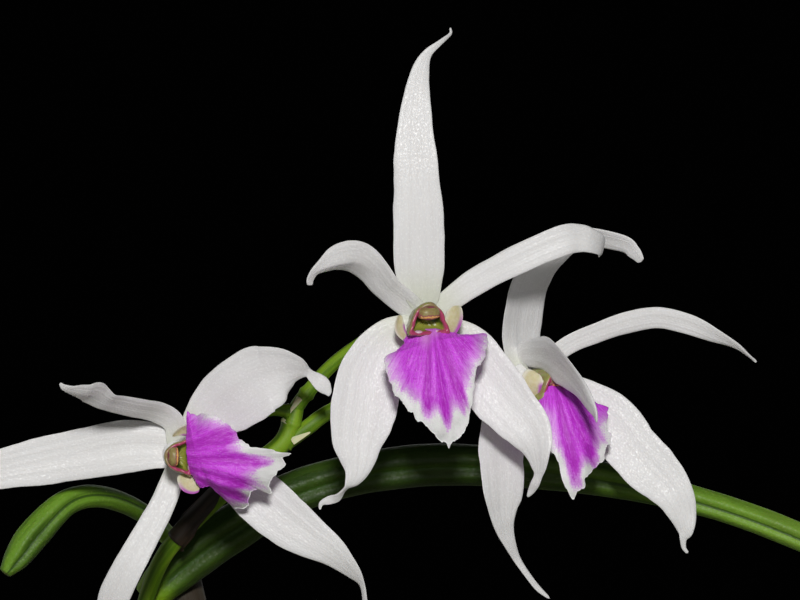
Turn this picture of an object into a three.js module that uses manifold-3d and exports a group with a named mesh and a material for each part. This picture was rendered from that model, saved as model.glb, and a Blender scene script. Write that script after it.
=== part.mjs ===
import * as THREE from "three";
import { mergeVertices } from "three/addons/utils/BufferGeometryUtils.js";
import Module from "manifold-3d";

// A potted Leptotes bicolor: a small orchid with pencil-thick, grooved leaves and a spray of three blooms,
// growing in bark in a plain clay pot. Millimetres, +Z up, origin at the middle of the pot's base.
// The spray faces -Y.

const wasm = await Module();
wasm.setup();

// The gap between pieces that touch on the real plant.
const CLEARANCE = 0.35;

const POT = {
  height: 74,
  baseRadius: 26,
  shoulderRadius: 35,
  rimRadius: 40,
  rimHeight: 18,
  wall: 4,
  floor: 6,
  holeRadius: 3.5,
  holeCircle: 14,
  sides: 32,
};
const BARK = { top: 61.5, chips: 44, chipTop: 66.5, spread: 28, length: 14, width: 10, thick: 5 };
const RHIZOME_HEIGHT = 69.5;
const RHIZOME_RADIUS = 1.7;
const STEM_RADIUS = 1.75;
const LEAF_RADIUS = 2.2;
const PEDICEL_RADIUS = 0.85;
const BLADE_THICKNESS = 0.7;

const COLOURS = {
  clay: { color: 0xa65f3f, roughness: 0.85 },
  bark: { color: 0x5b3c27, roughness: 0.95 },
  rhizome: { color: 0x8d8a68, roughness: 0.8 },
  sheath: { color: 0x9aa65c, roughness: 0.6 },
  leaf: { color: 0x3f7420, roughness: 0.45 },
  peduncle: { color: 0x6f9422, roughness: 0.45 },
  tepal: { color: 0xf0eeec, roughness: 0.5 },
  lip: { color: 0xb43bc0, roughness: 0.5 },
  column: { color: 0x8f9a35, roughness: 0.4 },
  anther: { color: 0xb98a63, roughness: 0.4 },
};
const materials = Object.fromEntries(
  Object.entries(COLOURS).map(([name, look]) => [name, new THREE.MeshStandardMaterial({ ...look, metalness: 0 })]),
);

// Helpers: points, closed skins and joins.

const point = ([x, y, z]) => new THREE.Vector3(x, y, z);
const radians = THREE.MathUtils.degToRad;

function solidFrom(points, faces) {
  const vertProperties = Float32Array.from(points.flatMap((p) => [p.x, p.y, p.z]));
  const build = (order) => new wasm.Manifold(new wasm.Mesh({ numProp: 3, vertProperties, triVerts: order }));
  const made = build(Uint32Array.from(faces));
  return made.volume() < 0 ? build(Uint32Array.from(faces).reverse()) : made;
}

function solidOf(geometry) {
  const bare = geometry.clone();
  bare.deleteAttribute("normal");
  bare.deleteAttribute("uv");
  const merged = mergeVertices(bare, 1e-3);
  const { array } = merged.attributes.position;
  const points = [];
  for (let i = 0; i < array.length; i += 3) points.push(new THREE.Vector3(...array.subarray(i, i + 3)));
  return solidFrom(points, merged.index.array);
}

const joined = (solids) => solids.reduce((whole, next) => whole.add(next));

// The largest body alone: loose crumbs go, and so do hollows closed in on all sides.
const largest = (solid) => solid.decompose().reduce((best, next) => (next.volume() > best.volume() ? next : best));

function mesh(name, solid, material) {
  const { numProp, vertProperties, triVerts } = solid.getMesh();
  const positions = new Float32Array((vertProperties.length / numProp) * 3);
  for (let i = 0; i * numProp < vertProperties.length; i++)
    positions.set(vertProperties.subarray(i * numProp, i * numProp + 3), i * 3);
  const geometry = new THREE.BufferGeometry()
    .setAttribute("position", new THREE.BufferAttribute(positions, 3))
    .setIndex(new THREE.BufferAttribute(Uint32Array.from(triVerts), 1));
  geometry.computeVertexNormals();
  const made = new THREE.Mesh(geometry, material);
  made.name = name;
  return made;
}

// A closed skin over rings of points. Its second half is split the mirrored way, so that the two faces of a thin
// blade carry the same triangles.
function loft(rings) {
  const around = rings[0].length;
  const faces = [];
  for (let i = 0; i + 1 < rings.length; i++)
    for (let j = 0; j < around; j++) {
      const a = i * around + j;
      const b = i * around + ((j + 1) % around);
      if (j < around / 2) faces.push(a, b, b + around, a, b + around, a + around);
      else faces.push(a, b, a + around, b, b + around, a + around);
    }
  const last = (rings.length - 1) * around;
  for (let j = 0; j < around / 2 - 1; j++) {
    const [a, b, c, d] = [j, j + 1, around - 2 - j, around - 1 - j];
    faces.push(b, a, d, b, d, c);
    faces.push(last + a, last + b, last + c, last + a, last + c, last + d);
  }
  return solidFrom(rings.flat(), faces);
}

const curveThrough = (points) => new THREE.CatmullRomCurve3(points, false, "catmullrom", 0.5);

// A round stem, root or bulb: stations are [x, y, z, radius]. Extra swells it on all sides, ends too.
function rod(stations, { sides = 8, steps = 2 * (stations.length - 1), extra = 0 } = {}) {
  const path = curveThrough(stations.map(point));
  const girth = curveThrough(stations.map(([, , , radius]) => new THREE.Vector3(radius, 0, 0)));
  const { normals, binormals } = path.computeFrenetFrames(steps);
  const rings = [];
  for (let i = 0; i <= steps; i++) {
    const t = i / steps;
    const radius = girth.getPoint(t).x + extra;
    // computeFrenetFrames spaces its frames by length, and the rings follow it.
    const middle = path.getPointAt(t);
    if (i === 0) middle.addScaledVector(path.getTangentAt(t), -extra);
    if (i === steps) middle.addScaledVector(path.getTangentAt(t), extra);
    rings.push(ring(middle, normals[i], binormals[i], sides, () => radius));
  }
  return loft(rings);
}

function ring(middle, up, across, sides, radiusAt) {
  const made = [];
  for (let j = 0; j < sides; j++) {
    const angle = (2 * Math.PI * j) / sides;
    const radius = radiusAt(angle);
    made.push(
      middle
        .clone()
        .addScaledVector(up, radius * Math.cos(angle))
        .addScaledVector(across, radius * Math.sin(angle)),
    );
  }
  return made;
}

// The pot: turned clay with a collar and three drain holes.

function pot() {
  const { height, baseRadius, shoulderRadius, rimRadius, rimHeight, wall, floor } = POT;
  const collar = height - rimHeight;
  const profile = [
    [0, 0],
    [baseRadius - 1, 0],
    [baseRadius, 1],
    [shoulderRadius, collar],
    [rimRadius - 1.2, collar],
    [rimRadius - 0.4, collar + 1],
    [rimRadius, height - 1.5],
    [rimRadius - 1.5, height],
    [rimRadius - wall + 0.5, height],
    [rimRadius - wall - 0.5, height - 1.5],
    [shoulderRadius - wall + 1.5, collar - 2],
    [baseRadius - wall + 1, floor + 2],
    [baseRadius - wall - 1, floor],
    [0, floor],
  ];
  const turned = new THREE.LatheGeometry(
    profile.map(([r, z]) => new THREE.Vector2(r, z)),
    POT.sides,
  ).rotateX(Math.PI / 2);
  let solid = solidOf(turned);
  for (let i = 0; i < 3; i++) {
    const angle = Math.PI / 2 + (i * 2 * Math.PI) / 3;
    const hole = new THREE.CylinderGeometry(POT.holeRadius, POT.holeRadius, 3 * floor, 12)
      .rotateX(Math.PI / 2)
      .translate(POT.holeCircle * Math.cos(angle), POT.holeCircle * Math.sin(angle), 0);
    solid = solid.subtract(solidOf(hole));
  }
  return solid;
}

// The bark: a bed that fills the pot, with chips laid over its top by a sunflower spiral.

let seed = 20260;
function random() {
  seed = (seed * 1664525 + 1013904223) % 4294967296;
  return seed / 4294967296;
}
const between = (low, high) => low + (high - low) * random();

function chip(x, y, z) {
  const box = new THREE.BoxGeometry(
    BARK.length * between(0.75, 1.1),
    BARK.width * between(0.75, 1.1),
    BARK.thick * between(0.8, 1.2),
  );
  const bare = mergeVertices(box.deleteAttribute("normal").deleteAttribute("uv"));
  const { array } = bare.attributes.position;
  for (let i = 0; i < array.length; i++) array[i] *= between(0.72, 1.1);
  return bare
    .rotateX(radians(between(-16, 16)))
    .rotateY(radians(between(-16, 16)))
    .rotateZ(between(0, Math.PI))
    .translate(x, y, z);
}

// The room inside the pot, a little smaller than its walls.
function inside() {
  const { wall, floor, baseRadius, shoulderRadius, rimRadius, height, rimHeight } = POT;
  const profile = [
    [0, floor],
    [baseRadius - wall - 1.1, floor],
    [baseRadius - wall + 0.9, floor + 2],
    [shoulderRadius - wall + 1.5, height - rimHeight - 2],
    [rimRadius - wall - 0.5, height - 1.5],
    [rimRadius - wall - 0.5, height + 6],
    [0, height + 6],
  ];
  const turned = new THREE.LatheGeometry(
    profile.map(([r, z]) => new THREE.Vector2(Math.max(r - CLEARANCE, 0), z)),
    POT.sides,
  );
  return solidOf(turned.rotateX(Math.PI / 2).translate(0, 0, CLEARANCE));
}

function bark(holes) {
  const bed = new THREE.BoxGeometry(90, 90, BARK.top).translate(0, 0, BARK.top / 2);
  const solids = [solidOf(bed)];
  const goldenAngle = Math.PI * (3 - Math.sqrt(5));
  for (let i = 0; i < BARK.chips; i++) {
    const reach = BARK.spread * Math.sqrt((i + 0.5) / BARK.chips);
    const angle = i * goldenAngle;
    const z = BARK.chipTop - BARK.thick / 2 + between(-1.4, 0.8);
    solids.push(solidOf(chip(reach * Math.cos(angle), reach * Math.sin(angle), z)));
  }
  const laid = largest(joined(solids).intersect(inside()));
  return largest(holes.reduce((whole, hole) => whole.subtract(hole), laid));
}

// The rhizome with its roots: a creeping stem that branches once, and pale roots that dive into the bark.

const rhizomeRuns = [
  [
    [27, -9, 0],
    [17, -4, 0.4],
    [7, 1, 0],
    [-4, 6, 0.5],
    [-13, 11, 0],
    [-21.5, 16, 0.3],
  ],
  [
    [9, 0, 0],
    [4, -8, 0.3],
    [-4, -14.5, 0],
  ],
];
const rootRuns = [
  [[24, -8], [29, -2], [30, 5]],
  [[15, -3], [19, 6], [15, 14]],
  [[11, -2], [16, -12], [12, -21]],
  [[2, 4], [1, 13], [5, 21]],
  [[-2, -13], [-1, -21], [6, -25]],
  [[-5, -14], [-14, -13], [-21, -8]],
  [[-9, 9], [-15, 2], [-23, 1]],
  [[-20, 15], [-26, 12], [-28, 4]],
  [[-17, 14], [-16, 22], [-9, 26]],
];

function rhizomeRods(extra) {
  const stems = rhizomeRuns.map((run) =>
    rod(
      run.map(([x, y, rise]) => [x, y, RHIZOME_HEIGHT + rise, RHIZOME_RADIUS]),
      { sides: 8, steps: run.length + 1, extra },
    ),
  );
  const roots = rootRuns.map(([start, bend, end]) =>
    rod(
      [
        [...start, RHIZOME_HEIGHT - 0.5, 0.9],
        [...bend, RHIZOME_HEIGHT - 2.2, 0.95],
        [...end, RHIZOME_HEIGHT - 6, 0.8],
        [end[0], end[1], RHIZOME_HEIGHT - 13, 0.6],
      ],
      { sides: 5, steps: 6, extra },
    ),
  );
  return [...stems, ...roots];
}

// Each growth is a slender stem on the rhizome with one leaf at its top.

// A leaf: stations are [x, y, z, radius], round but for a groove along the side that across x along points to.
function leafOf(stations, across, { sides = 10, steps = 2 * (stations.length - 1) } = {}) {
  const path = curveThrough(stations.map(point));
  const girth = curveThrough(stations.map(([, , , radius]) => new THREE.Vector3(radius, 0, 0)));
  const grooved = 0.62;
  const rings = [];
  for (let i = 0; i <= steps; i++) {
    const t = i / steps;
    const along = path.getTangent(t);
    const face = new THREE.Vector3().crossVectors(across, along).normalize();
    const side = new THREE.Vector3().crossVectors(along, face);
    const radius = girth.getPoint(t).x;
    rings.push(ring(path.getPoint(t), face, side, sides, (angle) => (angle === 0 ? grooved * radius : radius)));
  }
  return loft(rings);
}

// A leaf that arches: it leaves the stem at a rise above level and bends down evenly along its length.
function archedLeaf([x, y, z], { heading, length, rise, bend }) {
  const stations = [];
  const count = 6;
  const girths = [0.72, 1, 1.05, 1, 0.86, 0.6, 0.18];
  let [out, height] = [0, 0];
  for (let i = 0; i <= count; i++) {
    stations.push([
      x + out * Math.cos(radians(heading)),
      y + out * Math.sin(radians(heading)),
      z + height,
      LEAF_RADIUS * girths[i],
    ]);
    const tilt = radians(rise - (bend * (i + 0.5)) / count);
    out += (length / count) * Math.cos(tilt);
    height += (length / count) * Math.sin(tilt);
  }
  const across = new THREE.Vector3(-Math.sin(radians(heading)), Math.cos(radians(heading)), 0);
  return leafOf(stations, across.negate());
}

// base: the place on the rhizome; top: where the leaf starts. A leaf is drawn by stations or as an arch.
const growths = [
  {
    name: "flowering",
    base: [-20, 16],
    top: [-20.6, 17, 97.4],
    leaf: [
      [-20.3, 17, 98.9, 1.6],
      [-17.4, 17, 101.9, 2.35],
      [-11.6, 17, 106.2, 2.5],
      [-3, 17.5, 110.8, 2.2],
      [9.2, 18, 112.9, 2.2],
      [23.5, 18, 112, 1.9],
      [37, 17, 109.2, 1.45],
      [49, 15, 104.8, 1.4],
      [58.5, 12, 99.6, 1],
      [63, 10, 96.4, 0.35],
    ],
    across: [-0.15, 0.5, 1],
  },
  {
    name: "left",
    base: [-12.5, 11],
    top: [-17.4, 23, 103.6],
    leaf: [
      [-18.1, 22.7, 105.2, 1],
      [-20.5, 14.5, 108.1, 1],
      [-24, 7, 110, 1.1],
      [-27.4, 3.4, 109.7, 1.3],
      [-30.6, 1.6, 106.6, 1.6],
      [-32.3, 0.9, 104.3, 1.35],
      [-33.6, 0.4, 102.6, 0.6],
    ],
    across: [0, 0.35, 1],
  },
  { name: "back", base: [-6, 7.2], top: [-5.4, 11, 86.5], arch: { heading: 84, length: 82, rise: 30, bend: 85 } },
  { name: "middle", base: [1, 3.8], top: [1.6, 1.5, 85], arch: { heading: -72, length: 74, rise: 26, bend: 88 } },
  { name: "back_right", base: [8, 0.6], top: [10, 4, 86], arch: { heading: 48, length: 88, rise: 26, bend: 72 } },
  { name: "right", base: [16.5, -3.8], top: [19, -5, 85], arch: { heading: -28, length: 80, rise: 24, bend: 78 } },
  { name: "far_right", base: [24.5, -7.8], top: [28, -5, 84], arch: { heading: 12, length: 76, rise: 40, bend: 76 } },
  { name: "front", base: [4.2, -7.8], top: [2.4, -11, 84.5], arch: { heading: -108, length: 66, rise: 24, bend: 92 } },
  { name: "front_left", base: [-3.2, -14], top: [-7, -17, 84], arch: { heading: -158, length: 76, rise: 32, bend: 84 } },
];

function stemOf({ base: [x, y], top: [topX, topY, topZ] }) {
  const foot = RHIZOME_HEIGHT + RHIZOME_RADIUS + 0.7;
  const along = (share) => [x + (topX - x) * share * share, y + (topY - y) * share * share, foot + (topZ - foot) * share];
  return rod(
    [
      [...along(0), 1.25],
      [...along(0.22), STEM_RADIUS],
      [...along(0.6), STEM_RADIUS * 0.98],
      [...along(0.9), STEM_RADIUS * 0.86],
      [...along(1), STEM_RADIUS * 0.72],
    ],
    { sides: 8, steps: 5 },
  );
}

function leafFor({ top, leaf, across, arch }) {
  if (leaf) return leafOf(leaf, point(across));
  const { heading, rise } = arch;
  const start = 0.8;
  const [x, y, z] = top;
  const level = start * Math.cos(radians(rise));
  return archedLeaf(
    [
      x + level * Math.cos(radians(heading)),
      y + level * Math.sin(radians(heading)),
      z + CLEARANCE + LEAF_RADIUS * 0.5,
    ],
    arch,
  );
}

// The blooms. Every station below is measured from the bloom's heart, where its sepals and petals meet.

// A petal, sepal or lip: stations are [x, y, z, width, roll, cup]. Its face starts towards facing and is carried
// along the bends; roll then turns it about its own line, in degrees. Cup lifts the edges by that share of the
// half width, and sweep draws them back along the blade, most of all halfway.
function blade(stations, facing, { steps, ruffle = 0, waves = 0, sweep = 0 } = {}) {
  const path = curveThrough(stations.map(point));
  const form = curveThrough(
    stations.map(([, , , width, roll = 0, cup = 0.12]) => new THREE.Vector3(width, roll, cup)),
  );
  const lanes = [-1, -0.5, 0, 0.5, 1];
  const count = steps ?? Math.round(1.4 * (stations.length - 1));
  const rings = [];
  const carried = point(facing);
  for (let i = 0; i <= count; i++) {
    const t = i / count;
    const middle = path.getPoint(t);
    const along = path.getTangent(t);
    const { x: width, y: roll, z: cup } = form.getPoint(t);
    carried.projectOnPlane(along).normalize();
    const face = carried.clone().applyAxisAngle(along, radians(roll));
    const side = new THREE.Vector3().crossVectors(along, face);
    const front = lanes.map((lane) => {
      const wave = ruffle * Math.sin(2 * Math.PI * waves * t + (lane > 0 ? 1 : 0)) * lane ** 4;
      return middle
        .clone()
        .addScaledVector(side, (lane * width) / 2)
        .addScaledVector(along, -sweep * lane ** 2 * 4 * t * (1 - t))
        .addScaledVector(face, (cup * width * lane * lane) / 2 + wave);
    });
    const back = front.map((p) => p.clone().addScaledVector(face, -BLADE_THICKNESS)).reverse();
    rings.push([...front, ...back]);
  }
  return loft(rings);
}

const blooms = [
  {
    name: "middle",
    heart: [8.7, 0, 128.2],
    forward: [0.03, -1, -0.05],
    up: [-0.05, 0, 1],
    facing: [0, -1, 0],
    tepals: {
      dorsalSepal: [
        [-0.2, 0.9, 0.4, 2.6],
        [-0.6, 0.9, 4.6, 4.9],
        [-0.8, 0.4, 9.4, 5.1],
        [-1.1, 0, 14, 4.6],
        [-1.2, -0.2, 18.4, 3.6],
        [-1, 0, 22, 2.7],
        [-0.4, 0.3, 25.2, 1.8, 15],
        [1.2, 0.3, 27.4, 0.9, 35],
        [2.5, -0.3, 28.9, 0.5, 45],
      ],
      leftPetal: [
        [-0.5, 0.9, 0.3, 2],
        [-3.9, 0.2, 3.1, 2.9, 10],
        [-5.8, -0.8, 5, 2.9, 15],
        [-7.6, -2, 5.6, 2.5, 20],
        [-9.6, -3.2, 5.1, 1.8, 30],
        [-10.8, -3.8, 4.3, 1, 50],
        [-11.6, -3.8, 3.5, 0.9, 60],
      ],
      rightPetal: [
        [0.5, 0.9, 0.4, 2],
        [4.8, 0.4, 3.6, 2.7],
        [9.4, -0.2, 6, 2.9],
        [13.4, -0.2, 7.7, 3.1],
        [15.8, 0.5, 8.1, 2.9],
        [17.3, 1.5, 7.7, 2.5],
        [18.2, 2.7, 6.9, 1.1],
      ],
      leftSepal: [
        [-0.5, 0.9, -0.4, 2.4],
        [-4, 0.5, -2.6, 4.8],
        [-6, 0, -6.6, 6.4],
        [-6.6, -0.4, -10.6, 6],
        [-6.6, -0.6, -14, 4],
        [-7.4, -0.6, -16.6, 1.9, -20],
        [-9, -0.2, -18, 1.2, -50],
        [-10.7, 0, -18.9, 0.5, -50],
      ],
      rightSepal: [
        [0.5, 0.9, -0.4, 2.4],
        [4.6, 0.6, -3.4, 5.2],
        [7.8, 0, -7.8, 5.8],
        [10, -0.8, -11.4, 4.8, 10],
        [11.1, -1, -13.8, 2.9, 25],
        [11.2, -0.6, -16, 1.5, 50],
        [10.3, 0.2, -17.8, 0.9, 60],
      ],
    },
    lip: {
      facing: [0, -1, 0.7],
      stations: [
        [0.05, -1, -2.2, 3, 0, 0.25],
        [0.1, -3.2, -2, 4.4, 0, 0.15],
        [0.5, -4.9, -2.5, 7.6, 0, 0],
        [0.8, -5.7, -3.9, 9.9, 0, -0.08],
        [0.7, -6, -5.8, 8.9, 0, -0.1],
        [1, -5.9, -8, 7.5, 0, -0.1],
        [1.5, -5.6, -9.9, 5.8, 0, -0.05],
        [2, -5.3, -11.5, 3.3, 0, 0],
        [2.1, -5, -12.9, 0.5, 0, 0],
      ],
    },
  },
  {
    name: "left",
    heart: [-16, -1, 114.5],
    forward: [0.12, -1, 0],
    up: [-1, -0.1, 0.02],
    facing: [0, -1, 0],
    tepals: {
      dorsalSepal: [
        [-0.4, 0.9, 0.1, 2.6],
        [-5, 0.9, 0.9, 5],
        [-9, 0.4, 0.3, 5.2],
        [-13.2, 0, -0.5, 4.9],
        [-18, -0.2, -1.4, 3.8],
        [-22.4, 0, -2.5, 2.6],
        [-25.8, 0.4, -4, 1.5, -20],
        [-28, 0.4, -6, 0.6, -40],
      ],
      upperPetal: [
        [-0.3, 0.9, 0.4, 2],
        [-3.2, -3, 4.4, 2.5],
        [-5.4, -6, 4.9, 2.4],
        [-8, -9.4, 5.9, 2.5, -10],
        [-9.6, -10.9, 6.2, 1.7, -25],
        [-11.1, -12, 7, 0.8, -30],
      ],
      lowerPetal: [
        [-0.1, 0.9, -0.4, 2],
        [-1.4, 0.4, -4.6, 2.5],
        [-3.2, -0.2, -8.2, 3],
        [-5.2, -0.4, -12, 3.2],
        [-7, 0.2, -15.6, 2.7],
        [-8, 1.6, -18.6, 1.5, 20],
        [-8.2, 2.8, -20.2, 0.6, 30],
      ],
      upperSepal: [
        [0.3, 0.9, 0.4, 2.4],
        [2.6, 0.6, 4.6, 5.2],
        [6, 0, 7.1, 6.7],
        [9.2, -0.6, 8.3, 5.6],
        [11.6, -1, 8.6, 2.8, -25],
        [13, -0.8, 8.1, 1.4, -60],
        [14.1, -0.4, 7.2, 1.5, -80],
        [14.9, 0, 6.1, 0.6, -90],
      ],
      lowerSepal: [
        [0.3, 0.9, -0.4, 2.4],
        [4.7, 0.5, -3.3, 4.4],
        [9, 0, -5.2, 5.8],
        [12.1, -0.4, -7.2, 4.9],
        [14.7, -0.6, -9.1, 3.3, 10],
        [16.8, -0.2, -11, 2.1, 25],
        [17.9, 0.4, -13, 1.2, 40],
        [18.3, 1, -15.4, 0.6, 50],
      ],
    },
    lip: {
      facing: [-0.7, -1, 0],
      stations: [
        [2.8, -1, 0, 3, 0, 0.25],
        [2.7, -3.2, 0, 4.4, 0, 0.15],
        [2.5, -4.9, 0.2, 7.2, 0, 0],
        [3.4, -5.9, 0.1, 7.8, 0, -0.06],
        [5, -6.2, -0.9, 8.6, 0, -0.1],
        [6.6, -6.2, -1.6, 7.4, 0, -0.1],
        [8.2, -6, -1.5, 5.2, 0, 0],
        [9.6, -5.8, -1, 3.4, 0, 0],
        [11.2, -5.4, 0.1, 0.5, 0, 0],
      ],
    },
  },
  {
    name: "right",
    heart: [18.9, 9, 121.8],
    forward: [0.45, -0.88, -0.1],
    up: [-0.02, -0.1, 1],
    facing: [0.25, -1, 0],
    tepals: {
      dorsalSepal: [
        [-0.1, 0.9, 0.4, 2.4],
        [-0.4, 1.2, 4.2, 3.9],
        [-0.3, 1, 7.2, 4.2],
        [0.3, 0.6, 10, 4.2],
        [2.2, 0, 12.8, 3.8],
        [5.4, -0.8, 14.5, 2.8],
        [8.4, -1.4, 14.4, 2],
        [10.4, -1.6, 13.3, 1.6],
        [11.5, -1.6, 11.8, 0.6],
      ],
      backPetal: [
        [0.4, 0.9, 0.4, 1.8],
        [4, 1, 3.7, 1.9],
        [7.2, 0.8, 5, 2.1],
        [10.4, 0.2, 6, 2.2],
        [13.2, -0.6, 6.3, 2.2],
        [16.2, -1.4, 5.7, 2.1],
        [18.8, -2, 4.6, 1.8, 15],
        [21, -2.2, 3.3, 1, 40],
        [22.9, -2.2, 1.8, 0.4, 50],
      ],
      frontPetal: [
        [-0.2, 0.7, 1.1, 1.4],
        [0.4, -1.4, 3.5, 2.2],
        [1.9, -4.4, 3.4, 3.8],
        [3.4, -7.4, 2.2, 4],
        [4.7, -9.8, 0.4, 3.5],
        [5.7, -11.8, -1.6, 2.4],
        [6.5, -12.8, -3.8, 0.5],
      ],
      leftSepal: [
        [-0.3, 0.9, -0.4, 2.2],
        [-2, 0.4, -3.6, 4.6],
        [-2.7, -2.6, -6.8, 5.2],
        [-2.5, -4, -9.9, 4.9],
        [-2.2, -4.2, -12.8, 3.4],
        [-1.8, -4, -15.4, 1.7, -15],
        [-0.4, -3.4, -18.6, 1.1, -30],
        [1.9, -2.6, -21.8, 0.5, -40],
      ],
      rightSepal: [
        [0.5, 0.9, -0.3, 2.2],
        [4.6, 0.6, -1.8, 4.8],
        [8.4, -0.2, -4.1, 5.8],
        [11.1, -0.8, -6.7, 5.4],
        [13.5, -1.2, -9.4, 4.6],
        [15.2, -1.4, -11.9, 3.1],
        [15.8, -1.2, -14.4, 1.5, 20],
        [16, -0.8, -17.2, 0.5, 30],
      ],
    },
    turned: { frontPetal: [-0.9, -0.45, 0] },
    lip: {
      facing: [0.3, -0.9, 0.7],
      stations: [
        [0.5, -1, -2.3, 3, 0, 0.25],
        [1.5, -2.9, -2.5, 4.2, 0, 0.12],
        [3.2, -5, -2.7, 7, 0, 0.05],
        [4.5, -5.6, -3.7, 9.2, 0, 0.1],
        [4.9, -5.7, -5.7, 9, 0, 0.1],
        [5, -5.6, -7.7, 7.2, 0, 0.1],
        [4.9, -5.4, -9.5, 4.6, 0, 0.1],
        [4.8, -5.2, -10.8, 2.4, 0, 0],
        [4.7, -5, -11.8, 0.5, 0, 0],
      ],
    },
  },
];

// The column and what stands round it are drawn in the bloom's own axes: x to its right, y up towards its dorsal
// sepal, z forward.
function bloomAxes({ forward, up }) {
  const z = point(forward).normalize();
  const x = new THREE.Vector3().crossVectors(point(up), z).normalize();
  return new THREE.Matrix4().makeBasis(x, new THREE.Vector3().crossVectors(z, x), z);
}

function dome(centre, size, [around, rows] = [8, 5]) {
  return new THREE.SphereGeometry(1, around, rows).scale(...size).translate(...centre);
}

const ANTHER = { centre: [0.1, 0.8, 3.9], size: [1.25, 0.72, 1] };

// The column: a stout post, horseshoe-shaped in front, with the stigma's hollow under the anther cap.
function column(axes) {
  const front = [
    [-2.2, -1.2],
    [-2.05, -0.3],
    [-1.6, 0.9],
    [-0.8, 1.6],
    [0, 1.8],
    [0.8, 1.6],
    [1.6, 0.9],
    [2.05, -0.3],
    [2.2, -1.2],
    [1.1, -1.35],
    [0, -1.4],
    [-1.1, -1.35],
  ];
  const slices = [
    [0.5, 0.6],
    [1.6, 0.72],
    [3, 0.9],
    [4.2, 1],
  ];
  const rings = slices.map(([z, scale]) => front.map(([x, y]) => point([x * scale, y * scale, z]).applyMatrix4(axes)));
  const hollow = dome([0, -0.5, 4.3], [1.55, 0.58, 1.3], [8, 4]).applyMatrix4(axes);
  const seat = dome(
    ANTHER.centre,
    ANTHER.size.map((r) => r + CLEARANCE),
  ).applyMatrix4(axes);
  return largest(loft(rings).subtract(solidOf(hollow)).subtract(solidOf(seat)));
}

// The lip's side lobes: two small ears that stand up on either side of the column.
function sideLobe(hand, axes) {
  const stations = [
    [hand * 2.2, -2.2, 3.1, 1.4],
    [hand * 3.3, -1.5, 2.9, 2],
    [hand * 3.5, -0.4, 2.6, 2],
    [hand * 3.5, 0.7, 2.4, 0.9],
  ];
  const facing = new THREE.Vector3(-0.6 * hand, 0, 1).transformDirection(axes);
  return blade(
    stations.map(([x, y, z, width]) => [...point([x, y, z]).applyMatrix4(axes), width, 0, 0.2]),
    facing.toArray(),
    { steps: 4 },
  );
}

function bloom(form) {
  const axes = bloomAxes(form);
  const group = new THREE.Group();
  group.position.set(...form.heart);
  const receptacle = dome([0, 0, -1.5], [1.7, 1.7, 1.6]).applyMatrix4(axes);
  const blades = Object.entries(form.tepals).map(([name, stations]) =>
    blade(stations, form.turned?.[name] ?? form.facing),
  );
  group.add(mesh(`${form.name}_bloom_tepals`, joined([solidOf(receptacle), ...blades]), materials.tepal));
  const midLobe = blade(form.lip.stations, form.lip.facing, { steps: 12, ruffle: 0.35, waves: 3, sweep: 1.2 });
  const lip = joined([midLobe, sideLobe(-1, axes), sideLobe(1, axes)]);
  group.add(mesh(`${form.name}_bloom_lip`, lip, materials.lip));
  group.add(mesh(`${form.name}_bloom_column`, column(axes), materials.column));
  const cap = solidOf(dome(ANTHER.centre, ANTHER.size).applyMatrix4(axes));
  group.add(mesh(`${form.name}_bloom_anther_cap`, cap, materials.anther));
  return group;
}

// The flower stem: the peduncle rises from the flowering growth and parts into three pedicels, each ending behind
// a bloom. Small bracts stand at the forks.
const fork = [-5.4, 8.6, 117.2];
const upperFork = [-4.2, 8.4, 119];
const flowerRuns = {
  peduncle: [
    [-20.6, 14.3, 95.8, 0.85],
    [-19.9, 13.2, 99.8, 0.95],
    [-17.8, 11, 104.4, 0.95],
    [-12.5, 9, 110.4, 0.9],
    [-7.6, 8.8, 115, 0.9],
    [...fork, 0.95],
    [...upperFork, 0.85],
  ],
  toMiddle: [
    [...upperFork, 0.8],
    [-2.8, 8, 121, 0.9],
    [0.6, 7, 124.6, 0.85],
    [5, 5.4, 127.4, 0.8],
    [8.3, 3.9, 128.3, 0.75],
  ],
  toLeft: [
    [...upperFork, 0.8],
    [-7.5, 7.4, 119.6, 0.8],
    [-12, 5.4, 117.2, 0.8],
    [-15.9, 3.2, 114.8, 0.75],
  ],
  toRight: [
    [...fork, 0.85],
    [-1, 9.4, 119.6, 0.85],
    [6, 12, 122.4, 0.85],
    [14, 14.4, 122.8, 0.85],
    [17, 12.7, 122.1, 0.75],
  ],
};
const bracts = [
  { root: [-4.6, 8, 117.6], tip: [-3.5, 7.4, 121], width: 1.3 },
  { root: [-6, 8.2, 116], tip: [-2.6, 7.6, 117.2], width: 1.4 },
  { root: [-4.2, 8.4, 118.8], tip: [-7, 7.8, 118.2], width: 1.3 },
];

function flowerStem() {
  const stems = Object.values(flowerRuns).map((run) => rod(run, { sides: 8 }));
  const leaflets = bracts.map(({ root, tip, width }) => {
    const middle = root.map((value, i) => (value + tip[i]) / 2);
    return blade([[...root, width], [...middle, width * 0.9], [...tip, 0.4]], [0, -1, 0.2]);
  });
  return joined([...stems, ...leaflets]);
}

// The whole plant.

const plant = new THREE.Group();
plant.add(mesh("pot", pot(), materials.clay));
plant.add(mesh("bark", bark(rhizomeRods(CLEARANCE + 0.1)), materials.bark));
plant.add(mesh("rhizome_and_roots", joined(rhizomeRods(0)), materials.rhizome));
for (const growth of growths) {
  plant.add(mesh(`${growth.name}_stem`, stemOf(growth), materials.sheath));
  plant.add(mesh(`${growth.name}_leaf`, leafFor(growth), materials.leaf));
}
plant.add(mesh("flower_stem", flowerStem(), materials.peduncle));
for (const form of blooms) plant.add(bloom(form));

export default plant;
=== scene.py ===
import math
import random

import bmesh
import bpy
from mathutils import Matrix, Vector, kdtree, noise


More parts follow.
